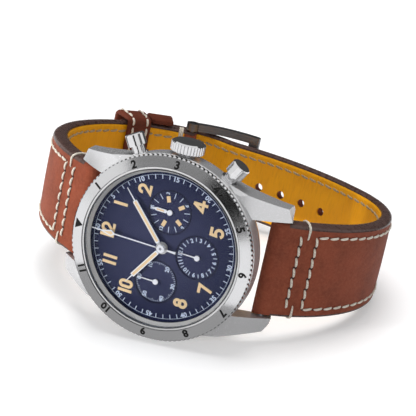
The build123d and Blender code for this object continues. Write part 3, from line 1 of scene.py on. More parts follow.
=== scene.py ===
import json
import math
import bpy
from mathutils import Matrix, Vector


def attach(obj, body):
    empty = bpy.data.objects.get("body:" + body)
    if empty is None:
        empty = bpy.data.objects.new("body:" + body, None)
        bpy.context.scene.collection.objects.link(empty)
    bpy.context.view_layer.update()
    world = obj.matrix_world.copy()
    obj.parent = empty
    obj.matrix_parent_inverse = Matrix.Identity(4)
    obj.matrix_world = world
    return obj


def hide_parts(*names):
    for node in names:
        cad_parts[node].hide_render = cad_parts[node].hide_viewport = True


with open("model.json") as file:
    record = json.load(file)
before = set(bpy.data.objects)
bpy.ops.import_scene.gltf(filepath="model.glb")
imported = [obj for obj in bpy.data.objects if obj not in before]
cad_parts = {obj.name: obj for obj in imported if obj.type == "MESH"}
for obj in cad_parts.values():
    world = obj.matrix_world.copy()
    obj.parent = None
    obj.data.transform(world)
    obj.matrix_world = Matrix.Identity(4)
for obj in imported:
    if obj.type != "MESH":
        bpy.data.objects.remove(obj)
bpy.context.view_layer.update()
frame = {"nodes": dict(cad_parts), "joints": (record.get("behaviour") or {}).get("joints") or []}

# The watch lies on its 9 o'clock side. Sizes below are millimetres in the watch's own frame:
# x points to 6 o'clock, y to the crown and z out of the dial, whose printed face is z = 0.
mm = 0.001
joints = {joint["name"]: joint for joint in frame["joints"]}
dial_way = Vector(joints["minute_turn"]["axis"])
crown_way = Vector(joints["crown_pull"]["axis"])
six_way = crown_way.cross(dial_way)
minute_hand_z = 0.88
dial_middle = Vector(joints["minute_turn"]["pos_m"]) - dial_way * minute_hand_z * mm
watch = Matrix.Translation(dial_middle) @ Matrix((six_way, crown_way, dial_way)).transposed().to_4x4()


# The camera stands in front of the dial, a little above it and towards 6 o'clock, with a long
# lens. Its place was fitted to the rings and numerals of the photograph.
camera_place = Vector((102.57, 117.59, 325.73))
camera_right = Vector((0.92094, 0.20187, -0.33334))
camera_up = Vector((-0.28459, 0.93273, -0.22140))
photo_pixels = 416
focal_pixels = 1693.9
film_width = 36.0
sight_end = 20.0


def placed(name, data):
    """An object in the scene, made from its data."""
    made = bpy.data.objects.new(name, data)
    bpy.context.scene.collection.objects.link(made)
    return made


camera_data = bpy.data.cameras.new("camera")
camera_data.sensor_width = film_width
camera_data.lens = focal_pixels / photo_pixels * film_width
camera_data.clip_end = sight_end
camera = placed("camera", camera_data)
camera_turn = Matrix((camera_right, camera_up, camera_right.cross(camera_up))).transposed().to_4x4()
camera.matrix_world = watch @ Matrix.Translation(camera_place * mm) @ camera_turn
bpy.context.scene.camera = camera
bpy.context.scene.view_settings.view_transform = "Standard"


# The ground is a smooth white table that keeps only the soft shadow. It runs far past the view,
# so its edge never shows, and to the camera it is lifted to the white of the backdrop.
class Shade:
    """A value in a node tree, which sums and products can use like a number."""

    def __init__(self, tree, socket=None):
        self.tree = tree
        self.socket = socket

    def node(self, kind, settings=None, inputs=None, output=0):
        """Adds a node, sets it up, then fills its sockets with numbers, colours or other values."""
        made = self.tree.nodes.new(kind)
        for name, value in (settings or {}).items():
            setattr(made, name, value)
        for name, value in (inputs or {}).items():
            if isinstance(value, Shade):
                self.tree.links.new(value.socket, made.inputs[name])
            else:
                made.inputs[name].default_value = value
        return Shade(self.tree, made.outputs[output] if len(made.outputs) else None)

    def math(self, operation, first, second=0.0):
        return self.node("ShaderNodeMath", {"operation": operation}, {0: first, 1: second})

    def __add__(self, other):
        return self.math("ADD", self, other)

    def __radd__(self, other):
        return self.math("ADD", other, self)

    def __sub__(self, other):
        return self.math("SUBTRACT", self, other)

    def __rsub__(self, other):
        return self.math("SUBTRACT", other, self)

    def __mul__(self, other):
        return self.math("MULTIPLY", self, other)

    def __rmul__(self, other):
        return self.math("MULTIPLY", other, self)

    def __truediv__(self, other):
        return self.math("DIVIDE", self, other)

    def __gt__(self, other):
        return self.math("GREATER_THAN", self, other)

    def __lt__(self, other):
        return self.math("LESS_THAN", self, other)


def seen_directly(start):
    """One for rays from the camera, off a mirror or through glass, and zero for the rest."""
    rays = [start.node("ShaderNodeLightPath", output=ray) for ray in
            ("Is Camera Ray", "Is Glossy Ray", "Is Transmission Ray")]
    return start.math("MAXIMUM", rays[0], start.math("MAXIMUM", rays[1], rays[2]))


def bare_tree(owner):
    """The emptied node tree of a material or of the world."""
    owner.use_nodes = True
    owner.node_tree.nodes.clear()
    return Shade(owner.node_tree)


def flat_sheet(name, half_across, half_high, material):
    """A flat rectangle round the origin."""
    mesh = bpy.data.meshes.new(name)
    corners = ((-1, -1), (1, -1), (1, 1), (-1, 1))
    mesh.from_pydata([(x * half_across, y * half_high, 0.0) for x, y in corners], [], [(0, 1, 2, 3)])
    mesh.materials.append(material)
    return placed(name, mesh)


white = (1.0, 1.0, 1.0, 1.0)
ground_half = 6.0
ground_lift_level = 0.30
ground_paint = bpy.data.materials.new("white_table")
ground_start = bare_tree(ground_paint)
ground_grain = ground_start.node("ShaderNodeTexNoise", inputs={"Scale": 9.0, "Detail": 2.0})
ground_white = ground_start.node("ShaderNodeMixRGB", inputs={
    "Fac": ground_grain, "Color1": (0.80, 0.80, 0.80, 1.0), "Color2": (0.82, 0.82, 0.82, 1.0)})
ground_matt = ground_start.node("ShaderNodeBsdfDiffuse", inputs={"Color": ground_white})
ground_lift = ground_start.node("ShaderNodeEmission", inputs={
    "Color": white, "Strength": seen_directly(ground_start) * ground_lift_level})
ground_sum = ground_start.node("ShaderNodeAddShader", inputs={0: ground_matt, 1: ground_lift})
ground_sum.node("ShaderNodeOutputMaterial", inputs={"Surface": ground_sum})
ground = flat_sheet("ground", ground_half, ground_half, ground_paint)


# The light is a pale room under a broad ceiling light, with a small key low on the left that
# draws the hands' shadows. Grey cards, unseen by the lens, give the steel its dark reflections.
room_grey = (0.36, 0.36, 0.37, 1.0)
world = bpy.data.worlds.new("room")
bpy.context.scene.world = world
room_start = bare_tree(world)
room_tone = room_start.node("ShaderNodeMixRGB", inputs={
    "Fac": seen_directly(room_start), "Color1": room_grey, "Color2": white})
room_glow = room_start.node("ShaderNodeBackground", inputs={"Color": room_tone, "Strength": 1.0})
room_glow.node("ShaderNodeOutputWorld", inputs={"Surface": room_glow})

# Each light has the way to it, how wide it looks in degrees, and its strength.
lights = (
    ("ceiling_light", (-0.12, 0.22, 1.0), 34.0, 1.85),
    ("key_light", (-0.75, -0.66, 0.10), 5.0, 2.5),
    ("fill_light", (0.35, -0.85, 0.45), 40.0, 0.3),
)
for name, way, spread, strength in lights:
    lamp_data = bpy.data.lights.new(name, "SUN")
    lamp_data.angle = math.radians(spread)
    lamp_data.energy = strength
    lamp = placed(name, lamp_data)
    lamp.rotation_euler = Vector(way).to_track_quat("Z", "Y").to_euler()
    lamp.visible_glossy = False

# Each card has its direction and height in degrees, its distance, its width and height in
# degrees, and how bright it is.
aim = Vector((0.0, -0.01, 0.02))
card_waver = 0.2
card_least = 0.9
cards = (
    ("card_bezel", 5.2, 11.0, 0.6, 15.6, 20.0, 0.0),
    ("card_front", -17.0, 21.0, 0.75, 34.0, 15.0, 0.30),
    ("card_behind", 180.0, 22.0, 0.11, 100.0, 78.0, 0.08),
    ("card_table", 0.0, -89.9, 0.019, 134.0, 138.0, 0.42),
    ("card_streak", 34.0, -6.0, 0.075, 12.0, 18.0, 0.02),
    ("card_low_right", 100.0, -6.0, 0.075, 36.0, 18.0, 0.08),
    ("card_low_left", -84.0, -6.0, 0.075, 20.0, 18.0, 0.05),
    ("card_right", 75.0, 5.0, 0.7, 30.0, 40.0, 0.15),
    ("card_left", -105.0, 6.0, 0.7, 30.0, 20.0, 0.20),
)
for name, around, above, distance, wide, high, level in cards:
    card_grey = bpy.data.materials.new(name)
    card_start = bare_tree(card_grey)
    card_place = card_start.node("ShaderNodeTexCoord", output="Generated")
    card_tone = card_start.node("ShaderNodeTexNoise", inputs={"Vector": card_place, "Scale": 1.5})
    card_glow = card_start.node("ShaderNodeEmission", inputs={
        "Color": white, "Strength": (card_tone * card_waver + card_least) * level})
    card_glow.node("ShaderNodeOutputMaterial", inputs={"Surface": card_glow})
    turn = math.radians(around)
    rise = math.radians(above)
    way = Vector((math.sin(turn) * math.cos(rise), -math.cos(turn) * math.cos(rise), math.sin(rise)))
    halves = [distance * math.tan(math.radians(span / 2)) for span in (wide, high)]
    card = flat_sheet(name, *halves, card_grey)
    card.location = aim + way * distance
    card.rotation_euler = way.to_track_quat("Z", "Y").to_euler()
    card.visible_camera = False
    card.visible_diffuse = False
    card.visible_shadow = False
    card.visible_transmission = False


# The case is one block of steel: satin on its flank and lugs, with the turning marks round the
# flank and the brushing along the lugs. The back and the gaskets close it from behind.
flank_end_r = 20.7


def place_in_watch(start):
    """The place of a surface point in the watch's frame, as x, y and z in millimetres."""
    point = start.node("ShaderNodeTexCoord", output="Object")
    from_middle = start.node("ShaderNodeVectorMath", {"operation": "SUBTRACT"}, {0: point, 1: dial_middle})
    dot = {"operation": "DOT_PRODUCT"}
    return [start.node("ShaderNodeVectorMath", dot, {0: from_middle, 1: way}, "Value") / mm
            for way in (six_way, crown_way, dial_way)]


def surface(name, paint, **constants):
    """A material whose constant sockets are set here and whose varying ones come from paint."""
    material = bpy.data.materials.new(name)
    material.use_nodes = True
    shader = material.node_tree.nodes["Principled BSDF"]
    for socket, value in constants.items():
        shader.inputs[socket.replace("_", " ")].default_value = value
    for socket, value in paint(*place_in_watch(Shade(material.node_tree))).items():
        material.node_tree.links.new(value.socket, shader.inputs[socket])
    return material


def noise(x, y, z, scale, detail=3.0, rough=0.5):
    """Soft noise over a place given as three values."""
    vector = x.node("ShaderNodeCombineXYZ", inputs={0: x, 1: y, 2: z})
    return x.node("ShaderNodeTexNoise", inputs={
        "Vector": vector, "Scale": scale, "Detail": detail, "Roughness": rough})


def blend_colours(share, *ends):
    """A colour between two ends, each another blend or its red, green and blue."""
    first, second = (end if isinstance(end, Shade) else (*end, 1.0) for end in ends)
    return share.node("ShaderNodeMixRGB", inputs={"Fac": share, "Color1": first, "Color2": second})


def bump(height, distance):
    """A normal that follows a height, whose full step is a distance in millimetres."""
    return height.node("ShaderNodeBump", inputs={
        "Height": height, "Distance": distance * mm, "Strength": 1.0})


def from_axis(x, y):
    """The distance from the dial's axis in millimetres."""
    squared = x * x + y * y
    return squared.math("SQRT", squared)


def radius_and_angle(x, y):
    """The distance from the dial's axis, and the turn round it in radians."""
    return from_axis(x, y), x.math("ARCTAN2", y, x)


def clouded(dark, pale, scale, smoothest, rougher, depth=0.0, detail=3.0, rough=0.5, stretch=(1, 1, 1)):
    """A finish that wavers between two tones, in how rough it is and, where given, in height."""
    def paint(x, y, z):
        cloud = noise(x * stretch[0], y * stretch[1], z * stretch[2], scale, detail, rough)
        made = {"Base Color": blend_colours(cloud, dark, pale), "Roughness": cloud * rougher + smoothest}
        if depth:
            made["Normal"] = bump(cloud, depth)
        return made
    return paint


def satin_case(x, y, z):
    """Satin steel, brushed round the flank and along the lugs."""
    radius, angle = radius_and_angle(x, y)
    round_marks = noise(angle * 3.0, z * 9.0, radius * 9.0, 1.0, 4.0, 0.7)
    long_marks = noise(x * 0.25, y * 9.0, z * 9.0, 1.0, 4.0, 0.7)
    on_lug = radius > flank_end_r
    marks = x.node("ShaderNodeMix", {"data_type": "FLOAT"}, {0: on_lug, 2: round_marks, 3: long_marks})
    return {
        "Base Color": blend_colours(marks, (0.58, 0.58, 0.59), (0.72, 0.72, 0.725)),
        "Roughness": marks * 0.16 + 0.17,
        "Normal": bump(marks, 0.006),
    }


def satin_round(x, y, z):
    """Satin steel brushed round the dial's axis."""
    radius, angle = radius_and_angle(x, y)
    marks = noise(angle * 2.5, z * 4.0, radius * 14.0, 1.0, 4.0, 0.7)
    return {
        "Base Color": blend_colours(marks, (0.60, 0.60, 0.61), (0.72, 0.72, 0.725)),
        "Roughness": marks * 0.14 + 0.2,
        "Normal": bump(marks, 0.004),
    }


def dress(material, *nodes):
    """Gives CAD nodes a finish in place of the plain one."""
    for node in nodes:
        mesh = frame["nodes"][node].data
        mesh.materials.clear()
        mesh.materials.append(material)


polish = clouded((0.60, 0.60, 0.61), (0.72, 0.72, 0.73), 1.2, 0.05, 0.05)
dark_rubber = clouded((0.012, 0.012, 0.012), (0.03, 0.03, 0.03), 4.0, 0.5, 0.2)
dress(surface("satin_case_steel", satin_case, Metallic=0.62), "case_middle")
dress(surface("satin_back_steel", satin_round, Metallic=1.0), "caseback")
dress(surface("gasket_rubber", dark_rubber), "gaskets")
polished_steel = surface("polished_steel", polish, Metallic=1.0)
dress(polished_steel, "case_tubes", "spring_bars", "bezel_spring", "pusher_springs")


# The bezel is turned from steel: a satin cone, a bright beaded edge with painted shade in the
# gaps between its beads, and numerals cut in and filled with black enamel. A triangle stands at
# 12 and the numerals' tops point outwards.
bezel_face_r = 20.25
bezel_numeral_r = 18.95
bezel_lip_r = 18.0
bezel_lip_z = 2.11
bezel_edge_r = 20.28
bezel_edge_z = 1.51
bezel_numeral_height = 1.85
bezel_numeral_weight = 0.04
bezel_beads = 120
enamel_t = 0.05
triangle_share = 1.2


def bezel_steel(x, y, z):
    """Fine satin on the cone; the beads round the edge are bright on top, with painted shade darkening the
    gaps between them.
    """
    radius, angle = radius_and_angle(x, y)
    marks = noise(angle * 2.5, z * 3.0, radius * 16.0, 1.0, 4.0, 0.7)
    edge = radius > bezel_face_r
    turns = angle * bezel_beads
    # Painted shade: the gaps between the beads are darkened towards black.
    gap = 0.5 - turns.math("COSINE", turns) * 0.5
    steel = blend_colours(marks, (0.60, 0.60, 0.61), (0.70, 0.70, 0.71))
    return {
        "Base Color": blend_colours(gap * gap * edge, steel, (0.03, 0.03, 0.03)),
        "Roughness": (marks * 0.08 + 0.09) * (1.0 - edge) + edge * 0.12,
        "Normal": bump(marks * (1.0 - edge), 0.003),
    }


def lettering(words, height, weight):
    """Flat letters centred on the origin, as points with x right, y up and z from 0 to 1, and faces."""
    curve = bpy.data.curves.new(words, "FONT")
    curve.body = words
    curve.offset = weight
    curve.extrude = 0.5
    curve.resolution_u = 5
    holder = placed(words, curve)
    made = bpy.data.meshes.new_from_object(holder.evaluated_get(bpy.context.evaluated_depsgraph_get()))
    points = [vertex.co.copy() for vertex in made.vertices]
    faces = [tuple(face.vertices) for face in made.polygons]
    bpy.data.objects.remove(holder)
    bpy.data.meshes.remove(made)
    bpy.data.curves.remove(curve)
    low = [min(point[axis] for point in points) for axis in range(3)]
    high = [max(point[axis] for point in points) for axis in range(3)]
    scale = height / (high[1] - low[1])
    middle = [(low[axis] + high[axis]) / 2 for axis in range(2)]
    return [((point.x - middle[0]) * scale, (point.y - middle[1]) * scale, point.z - low[2])
            for point in points], faces


def loft(rings, closed=False):
    """A skin over rings of points, with flat ends where the last ring doesn't join the first."""
    count = len(rings[0])
    points = [point for ring in rings for point in ring]
    total = len(points)
    faces = [] if closed else [tuple(range(count)), tuple(reversed(range(total - count, total)))]
    for row in range(len(rings) if closed else len(rings) - 1):
        for index in range(count):
            here = row * count + index
            after = row * count + (index + 1) % count
            faces.append((after, here, (here + count) % total, (after + count) % total))
    return points, faces


def slab(outline):
    """A flat plate of any outline, with z from 0 to 1, as points and faces."""
    return loft([[(x, y, z) for x, y in reversed(outline)] for z in (0.0, 1.0)])


def stamped(shape, origin, right, up, thickness):
    """A flat shape laid at a place in the watch's frame."""
    points, faces = shape
    right = Vector(right).normalized()
    up = Vector(up).normalized()
    out = right.cross(up)
    origin = Vector(origin)
    return [origin + right * x + up * y + out * (z * thickness) for x, y, z in points], faces


def mesh_of(name, points, faces):
    """A mesh from points in the watch's frame."""
    mesh = bpy.data.meshes.new(name)
    mesh.from_pydata([watch @ (Vector(point) * mm) for point in points], [], faces)
    return mesh


def piece(name, shapes, body, material, smooth=False, stands_for=()):
    """One object from shapes in the watch's frame, riding on a CAD body."""
    points = []
    faces = []
    for shape_points, shape_faces in shapes:
        start = len(points)
        points += shape_points
        faces += [tuple(start + index for index in face) for face in shape_faces]
    mesh = mesh_of(name, points, faces)
    mesh.validate()
    mesh.materials.append(material)
    if smooth:
        mesh.shade_smooth()
    made = placed(name, mesh)
    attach(made, body)
    if stands_for:
        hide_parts(*stands_for)
    return made


def on_dial(radius, hour):
    """The place at a radius in the direction of an hour."""
    turn = math.radians(30 * hour)
    return Vector((-radius * math.cos(turn), radius * math.sin(turn), 0.0))


dress(surface("bezel_steel", bezel_steel, Metallic=1.0), "bezel")
black_enamel = surface("black_enamel", clouded((0.003, 0.003, 0.003), (0.008, 0.008, 0.008), 5.0, 0.3, 0.15),
                       Specular_IOR_Level=0.2)
cone_fall = (bezel_lip_z - bezel_edge_z) / (bezel_edge_r - bezel_lip_r)
bezel_numerals = []
for hour in range(12):
    outward = on_dial(1.0, hour)
    up = outward - Vector((0, 0, cone_fall))
    right = up.cross(Vector((outward.x * cone_fall, outward.y * cone_fall, 1.0)))
    origin = outward * bezel_numeral_r
    origin.z = bezel_lip_z - (bezel_numeral_r - bezel_lip_r) * cone_fall
    if hour:
        shape = lettering(str(hour), bezel_numeral_height, bezel_numeral_weight)
    else:
        half = bezel_numeral_height / 2
        wide = half * triangle_share
        shape = slab([(-wide, half), (0, -half), (wide, half)])
    bezel_numerals.append(stamped(shape, origin, right, up, enamel_t))
piece("bezel_numerals", bezel_numerals, "bezel", black_enamel)


# The dial is lacquered navy, with painted shade that darkens it towards its edge, and has sunk
# counters. The minute track, the counters' scales and their figures are printed on it in pale
# blue-grey ink.
dial_edge_r = 16.55
flange_step_z = 0.56
ink_t = 0.04
counter_ink_t = 0.09
track_r = 15.9
tick_length = 0.95
tick_width = 0.17
track_line_width = 0.07
track_line_places = 180
figure_r = 15.35
figure_height = 1.12
figure_weight = 0.03
counter_place_r = 7.95
counter_depth = 0.12
counter_r = 4.75
counter_end_r = 4.45
counter_figure_r = 3.9
counter_figure_height = 0.95
minute_figure_r = 4.15
minute_figure_height = 0.8
figure_flips_below = -0.4
counter_tick_width = 0.15
minute_tick_in_r = 3.2
hour_tick_in_r = 3.6
five_seconds_in_r = 3.85
second_in_r = 4.12
second_tick_width = 0.09
rim_place_r = counter_r + 0.03
rim_width = 0.22
rim_places = 96
sharpest_mitre = 0.5
to_crown = Vector((0, 1, 0))
to_twelve = Vector((-1, 0, 0))


def navy_lacquer(x, y, z):
    """Navy lacquer, with painted shade that darkens it towards the dial's edge."""
    share = from_axis(x, y) / dial_edge_r
    grain = noise(x, y, z, 6.0, 4.0, 0.6)
    # Painted shade: the navy darkens towards the edge of the dial.
    edge_shaded = blend_colours(share * share, (0.042, 0.045, 0.096), (0.009, 0.012, 0.040))
    return {
        "Base Color": blend_colours(grain * 0.2, edge_shaded, (0.020, 0.022, 0.050)),
        "Roughness": grain * 0.1 + 0.38,
        "Normal": bump(grain, 0.003),
    }


def flange_paint(x, y, z):
    """Navy on the low wall beside the dial, darker than the dial as painted shade under the bezel's lip, and
    satin steel on the slope above it.
    """
    radius, angle = radius_and_angle(x, y)
    marks = noise(angle * 2.0, z * 6.0, radius * 6.0, 1.0, 3.0)
    steel = z > flange_step_z
    slope = blend_colours(marks, (0.70, 0.68, 0.62), (0.84, 0.82, 0.76))
    # Painted shade: the low wall's navy is near black.
    return {"Base Color": blend_colours(steel, (0.004, 0.005, 0.016), slope),
            "Metallic": steel * 0.5, "Roughness": marks * 0.1 + 0.4}


def pen_line(places, width, closed=False):
    """A flat line of even width through places, with square ends, and z from 0 to 1."""
    places = [Vector(place) for place in places]
    count = len(places)
    rings = []
    for index, place in enumerate(places):
        onward = places[(index + 1) % count] - place
        inward = place - places[index - 1]
        if not closed and index == 0:
            inward = onward
        if not closed and index == count - 1:
            onward = inward
        onward.normalize()
        inward.normalize()
        side = Vector((-onward.y - inward.y, onward.x + inward.x)).normalized()
        reach = width / 2 / max(side.dot(Vector((-onward.y, onward.x))), sharpest_mitre)
        left, right = place - side * reach, place + side * reach
        rings.append([(*left, 0.0), (*right, 0.0), (*right, 1.0), (*left, 1.0)])
    return loft(rings, closed)


def round_places(middle, radius, first, last, count):
    """Places round a part of a circle, from one angle to another in degrees."""
    places = []
    for index in range(count):
        turn = math.radians(first + (last - first) * index / (count - 1))
        places.append((middle[0] + radius * math.cos(turn), middle[1] + radius * math.sin(turn)))
    return places


def circle(middle, radius, count):
    """Places all round a circle."""
    return round_places(middle, radius, 0, 360 - 360 / count, count)


def tick(middle, inner, outer, turn, width, thickness):
    """A printed line that points away from a middle; turn counts from 12, clockwise, in degrees."""
    outward = on_dial(1.0, turn / 30)
    side = Vector((outward.y, -outward.x, 0))
    return stamped(pen_line([(0, inner), (0, outer)], width), middle, side, outward, thickness)


def figure(words, middle, reach, turn, height, thickness, upright=True):
    """A printed figure beside a middle, upright as seen with 12 at the top, or turned with the scale."""
    outward = on_dial(1.0, turn / 30)
    up = to_twelve
    if not upright:
        up = outward if math.cos(math.radians(turn)) > figure_flips_below else -outward
    right = Vector((up.y, -up.x, 0))
    return stamped(lettering(words, height, figure_weight), middle + outward * reach, right, up, thickness)


track_middle = Vector((0, 0, 0))
minute_track = []
for minute in range(60):
    turn = minute * 6
    if minute % 5:
        minute_track.append(tick(track_middle, track_r - tick_length, track_r, turn, tick_width, ink_t))
    else:
        minute_track.append(figure(str(minute or 60), track_middle, figure_r, turn, figure_height, ink_t,
                                   False))
dress(surface("navy_lacquer", navy_lacquer, Specular_IOR_Level=0.12), "dial")
dress(surface("flange_paint", flange_paint), "flange_ring")
track_line = pen_line(circle((0, 0), track_r, track_line_places), track_line_width, True)
minute_track.append(stamped(track_line, track_middle, to_crown, to_twelve, ink_t))
ink = surface("pale_ink", clouded((0.50, 0.58, 0.70), (0.66, 0.73, 0.84), 12.0, 0.45, 0.2))
piece("minute_track", minute_track, "case", ink)

counter_floor = Vector((0, 0, -counter_depth))
minute_middle = on_dial(counter_place_r, 3) + counter_floor
hour_middle = on_dial(counter_place_r, 6) + counter_floor
seconds_middle = on_dial(counter_place_r, 9) + counter_floor
counter_scales = []
for minute in range(1, 16):
    turn = minute * 24
    if minute % 3:
        shape = tick(minute_middle, minute_tick_in_r, counter_end_r, turn, counter_tick_width, counter_ink_t)
    else:
        shape = figure(str(minute), minute_middle, minute_figure_r, turn, minute_figure_height, counter_ink_t)
    counter_scales.append(shape)
for hour in range(1, 13):
    turn = hour * 30
    counter_scales.append(figure(str(hour), hour_middle, counter_figure_r, turn, counter_figure_height,
                                 counter_ink_t, False))
    counter_scales.append(tick(hour_middle, hour_tick_in_r, counter_end_r, turn + 15, counter_tick_width,
                               counter_ink_t))
for second in range(1, 61):
    turn = second * 6
    inner = second_in_r if second % 5 else five_seconds_in_r
    if second % 10:
        shape = tick(seconds_middle, inner, counter_end_r, turn, second_tick_width, counter_ink_t)
    else:
        shape = figure(str(second), seconds_middle, counter_figure_r, turn, counter_figure_height,
                       counter_ink_t)
    counter_scales.append(shape)
piece("counter_scales", counter_scales, "case", ink)

# Painted shadow: a dark ring at each counter's rim, where the sunk counter's wall casts its shade.
rim_line = pen_line(circle((0, 0), rim_place_r, rim_places), rim_width, True)
rim_shadow_rings = [stamped(rim_line, middle - counter_floor, to_crown, to_twelve, ink_t)
        for middle in (minute_middle, hour_middle, seconds_middle)]
rim_shadow = surface("counter_shadow", clouded((0.004, 0.005, 0.012), (0.008, 0.009, 0.020), 6.0, 0.5, 0.1),
                     Specular_IOR_Level=0.2)
piece("counter_rim_shadows", rim_shadow_rings, "case", rim_shadow)


# The large numerals and the blocks of the minute counter are raised luminous paint, sand
# coloured, laid in even strokes. The numerals at 3, 6 and 9 give way to the counters.
numeral_r = 12.85
numeral_middle = Vector((-0.05, 0.2, 0.0))
numeral_height = 3.2
numeral_width = 2.15
numeral_stroke = 0.63
numeral_gap = 0.30
eleven_gap = 0.72
numeral_t = 0.13
crossing_t = 0.004
block_length = 1.35
block_width = 0.82
block_r = 2.85
arc_places = 17
ring_places = 24
half_ring_places = 13
zero_narrow_share = 0.82
zero_width_share = 0.87
eight_upper_share = 0.48
eight_lower_share = 0.58
seven_foot_share = 0.35
four_bar_share = 0.42
four_right_share = 1.2
four_left_share = 1.35
four_stem_share = 0.45
two_from = 190
two_to = -40
five_bowl_share = 1.05
five_top_share = 0.7
five_waist_share = 0.8
five_waist_height_share = 0.12
five_from = 112
five_to = -155


def sign_strokes(sign):
    """The strokes of one numeral, each as its places and whether it closes on itself."""
    top = numeral_height / 2
    high = top - numeral_stroke / 2
    side = numeral_width / 2
    wide = side - numeral_stroke / 2
    if sign == "1":
        return [([(0, -top), (0, top)], False)]
    if sign == "7":
        return [([(-side, high), (wide, high), (-wide * seven_foot_share, -top)], False)]
    if sign == "4":
        bar = -high * four_bar_share
        stem = wide * four_stem_share
        return [([(side * four_right_share, bar), (-wide * four_left_share, bar), (stem, top)], False),
                ([(stem, top), (stem, -top)], False)]
    if sign == "0":
        narrow = wide * zero_narrow_share
        over, under = [round_places((0, middle), narrow, first, first + 180, half_ring_places)
                       for middle, first in ((high - narrow, 0), (narrow - high, 180))]
        return [(over + under, True)]
    if sign == "8":
        small = high * eight_upper_share
        bowl = high * eight_lower_share
        return [(circle((0, high - small), small, ring_places), True),
                (circle((0, bowl - high), bowl, ring_places), True)]
    if sign == "2":
        curl = round_places((0, high - wide), wide, two_from, two_to, arc_places)
        return [(curl + [(-wide, -high), (side, -high)], False)]
    bowl = wide * five_bowl_share
    curl = round_places((0, bowl - high), bowl, five_from, five_to, arc_places)
    waist = (-wide * five_waist_share, high * five_waist_height_share)
    return [([(side, high), (-wide * five_top_share, high), waist] + curl, False)]


def sign_width(sign):
    """How wide one sign of a numeral is."""
    return {"1": numeral_stroke, "0": numeral_width * zero_width_share}.get(sign, numeral_width)


def numeral(signs):
    """A numeral of one or two signs, centred on the origin."""
    gap = eleven_gap if signs == "11" else numeral_gap
    across = -(sum(sign_width(sign) for sign in signs) + gap * (len(signs) - 1)) / 2
    strokes = []
    for sign in signs:
        middle = across + sign_width(sign) / 2
        for places, closed in sign_strokes(sign):
            strokes.append(pen_line([(x + middle, y) for x, y in places], numeral_stroke, closed))
        across += sign_width(sign) + gap
    return strokes


lume = surface("sand_lume", clouded((0.80, 0.56, 0.27), (0.92, 0.70, 0.40), 9.0, 0.55, 0.2, 0.01, 4.0, 0.7))
numerals = []
for hour in (12, 1, 2, 4, 5, 7, 8, 10, 11):
    for layer, shape in enumerate(numeral(str(hour))):
        numerals.append(stamped(shape, on_dial(numeral_r, hour) + numeral_middle, to_crown, to_twelve,
                                numeral_t + layer * crossing_t))
for minute in (3, 6, 9, 12):
    turn = minute * 24
    outward = on_dial(1.0, turn / 30)
    across = Vector((outward.y, -outward.x, 0))
    block = pen_line([(0, block_r - block_length / 2), (0, block_r + block_length / 2)], block_width)
    numerals.append(stamped(block, minute_middle, across, outward, numeral_t))
piece("dial_numerals", numerals, "case", lume, stands_for=["lume_numerals"])
dress(lume, "hour_lume", "minute_lume")


# The hands are stamped brass lacquered white, with bare polished hubs. The leaf of the minute
# counter and the diamond of the chronograph hand carry a thin fill of the same sand paint.
hub_in_r = 0.88
hub_out_r = 1.4
hub_middle_r = 0.3
chrono_top_z = 1.38
diamond_near = 11.15
diamond_widest = 11.65
diamond_far = 13.3
diamond_half_width = 0.42
leaf_top_z = 0.28
leaf_near = 1.3
leaf_far = 3.0
leaf_fill_width = 0.34
fill_t = 0.03


def white_lacquer(x, y, z):
    """White lacquer, with a ring of bare steel round the hub and a darker pin in its middle."""
    radius = from_axis(x, y)
    hub = (radius > hub_in_r) * (radius < hub_out_r)
    pin = radius < hub_middle_r
    cloud = noise(x, y, z, 3.0)
    white = blend_colours(cloud, (0.80, 0.80, 0.80), (0.88, 0.88, 0.88))
    steel = blend_colours(hub, white, (0.52, 0.51, 0.50))
    return {"Base Color": blend_colours(pin, steel, (0.28, 0.28, 0.28)),
            "Metallic": hub, "Roughness": cloud * 0.1 + 0.25}


white_hands = surface("white_lacquer", white_lacquer)
dress(white_hands, "hour_hand", "minute_hand", "chrono_hand", "minute_counter_hand", "hour_counter_hand",
      "seconds_hand")
leaf_fill = pen_line([(0, leaf_near), (0, leaf_far)], leaf_fill_width)
leaf_place = on_dial(counter_place_r, 3) + Vector((0, 0, leaf_top_z))
piece("leaf_fill", [stamped(leaf_fill, leaf_place, to_crown, to_twelve, fill_t)], "minute_counter",
      lume)
diamond = slab([(0, diamond_near), (diamond_half_width, diamond_widest), (0, diamond_far),
                (-diamond_half_width, diamond_widest)])
piece("diamond_fill", [stamped(diamond, (0, 0, chrono_top_z), to_crown, to_twelve, fill_t)],
      "chronograph", lume)


# The glass is domed sapphire with a faint blue sheen from its coating, held by its gasket. It
# mirrors least where it is looked at straight on.
glass_mirror_share = 0.25
sapphire = bpy.data.materials.new("clear_sapphire")
glass_start = bare_tree(sapphire)
glass_clear = glass_start.node("ShaderNodeBsdfTransparent", inputs={"Color": (0.97, 0.975, 0.99, 1.0)})
glass_gloss = glass_start.node("ShaderNodeBsdfGlossy", inputs={
    "Color": (0.75, 0.85, 1.0, 1.0), "Roughness": 0.02})
glass_edge = glass_start.node("ShaderNodeFresnel", inputs={"IOR": 1.35})
glass_mix = glass_start.node("ShaderNodeMixShader", inputs={
    0: glass_edge * glass_mirror_share, 1: glass_clear, 2: glass_gloss})
glass_mix.node("ShaderNodeOutputMaterial", inputs={"Surface": glass_mix})
dress(sapphire, "crystal")


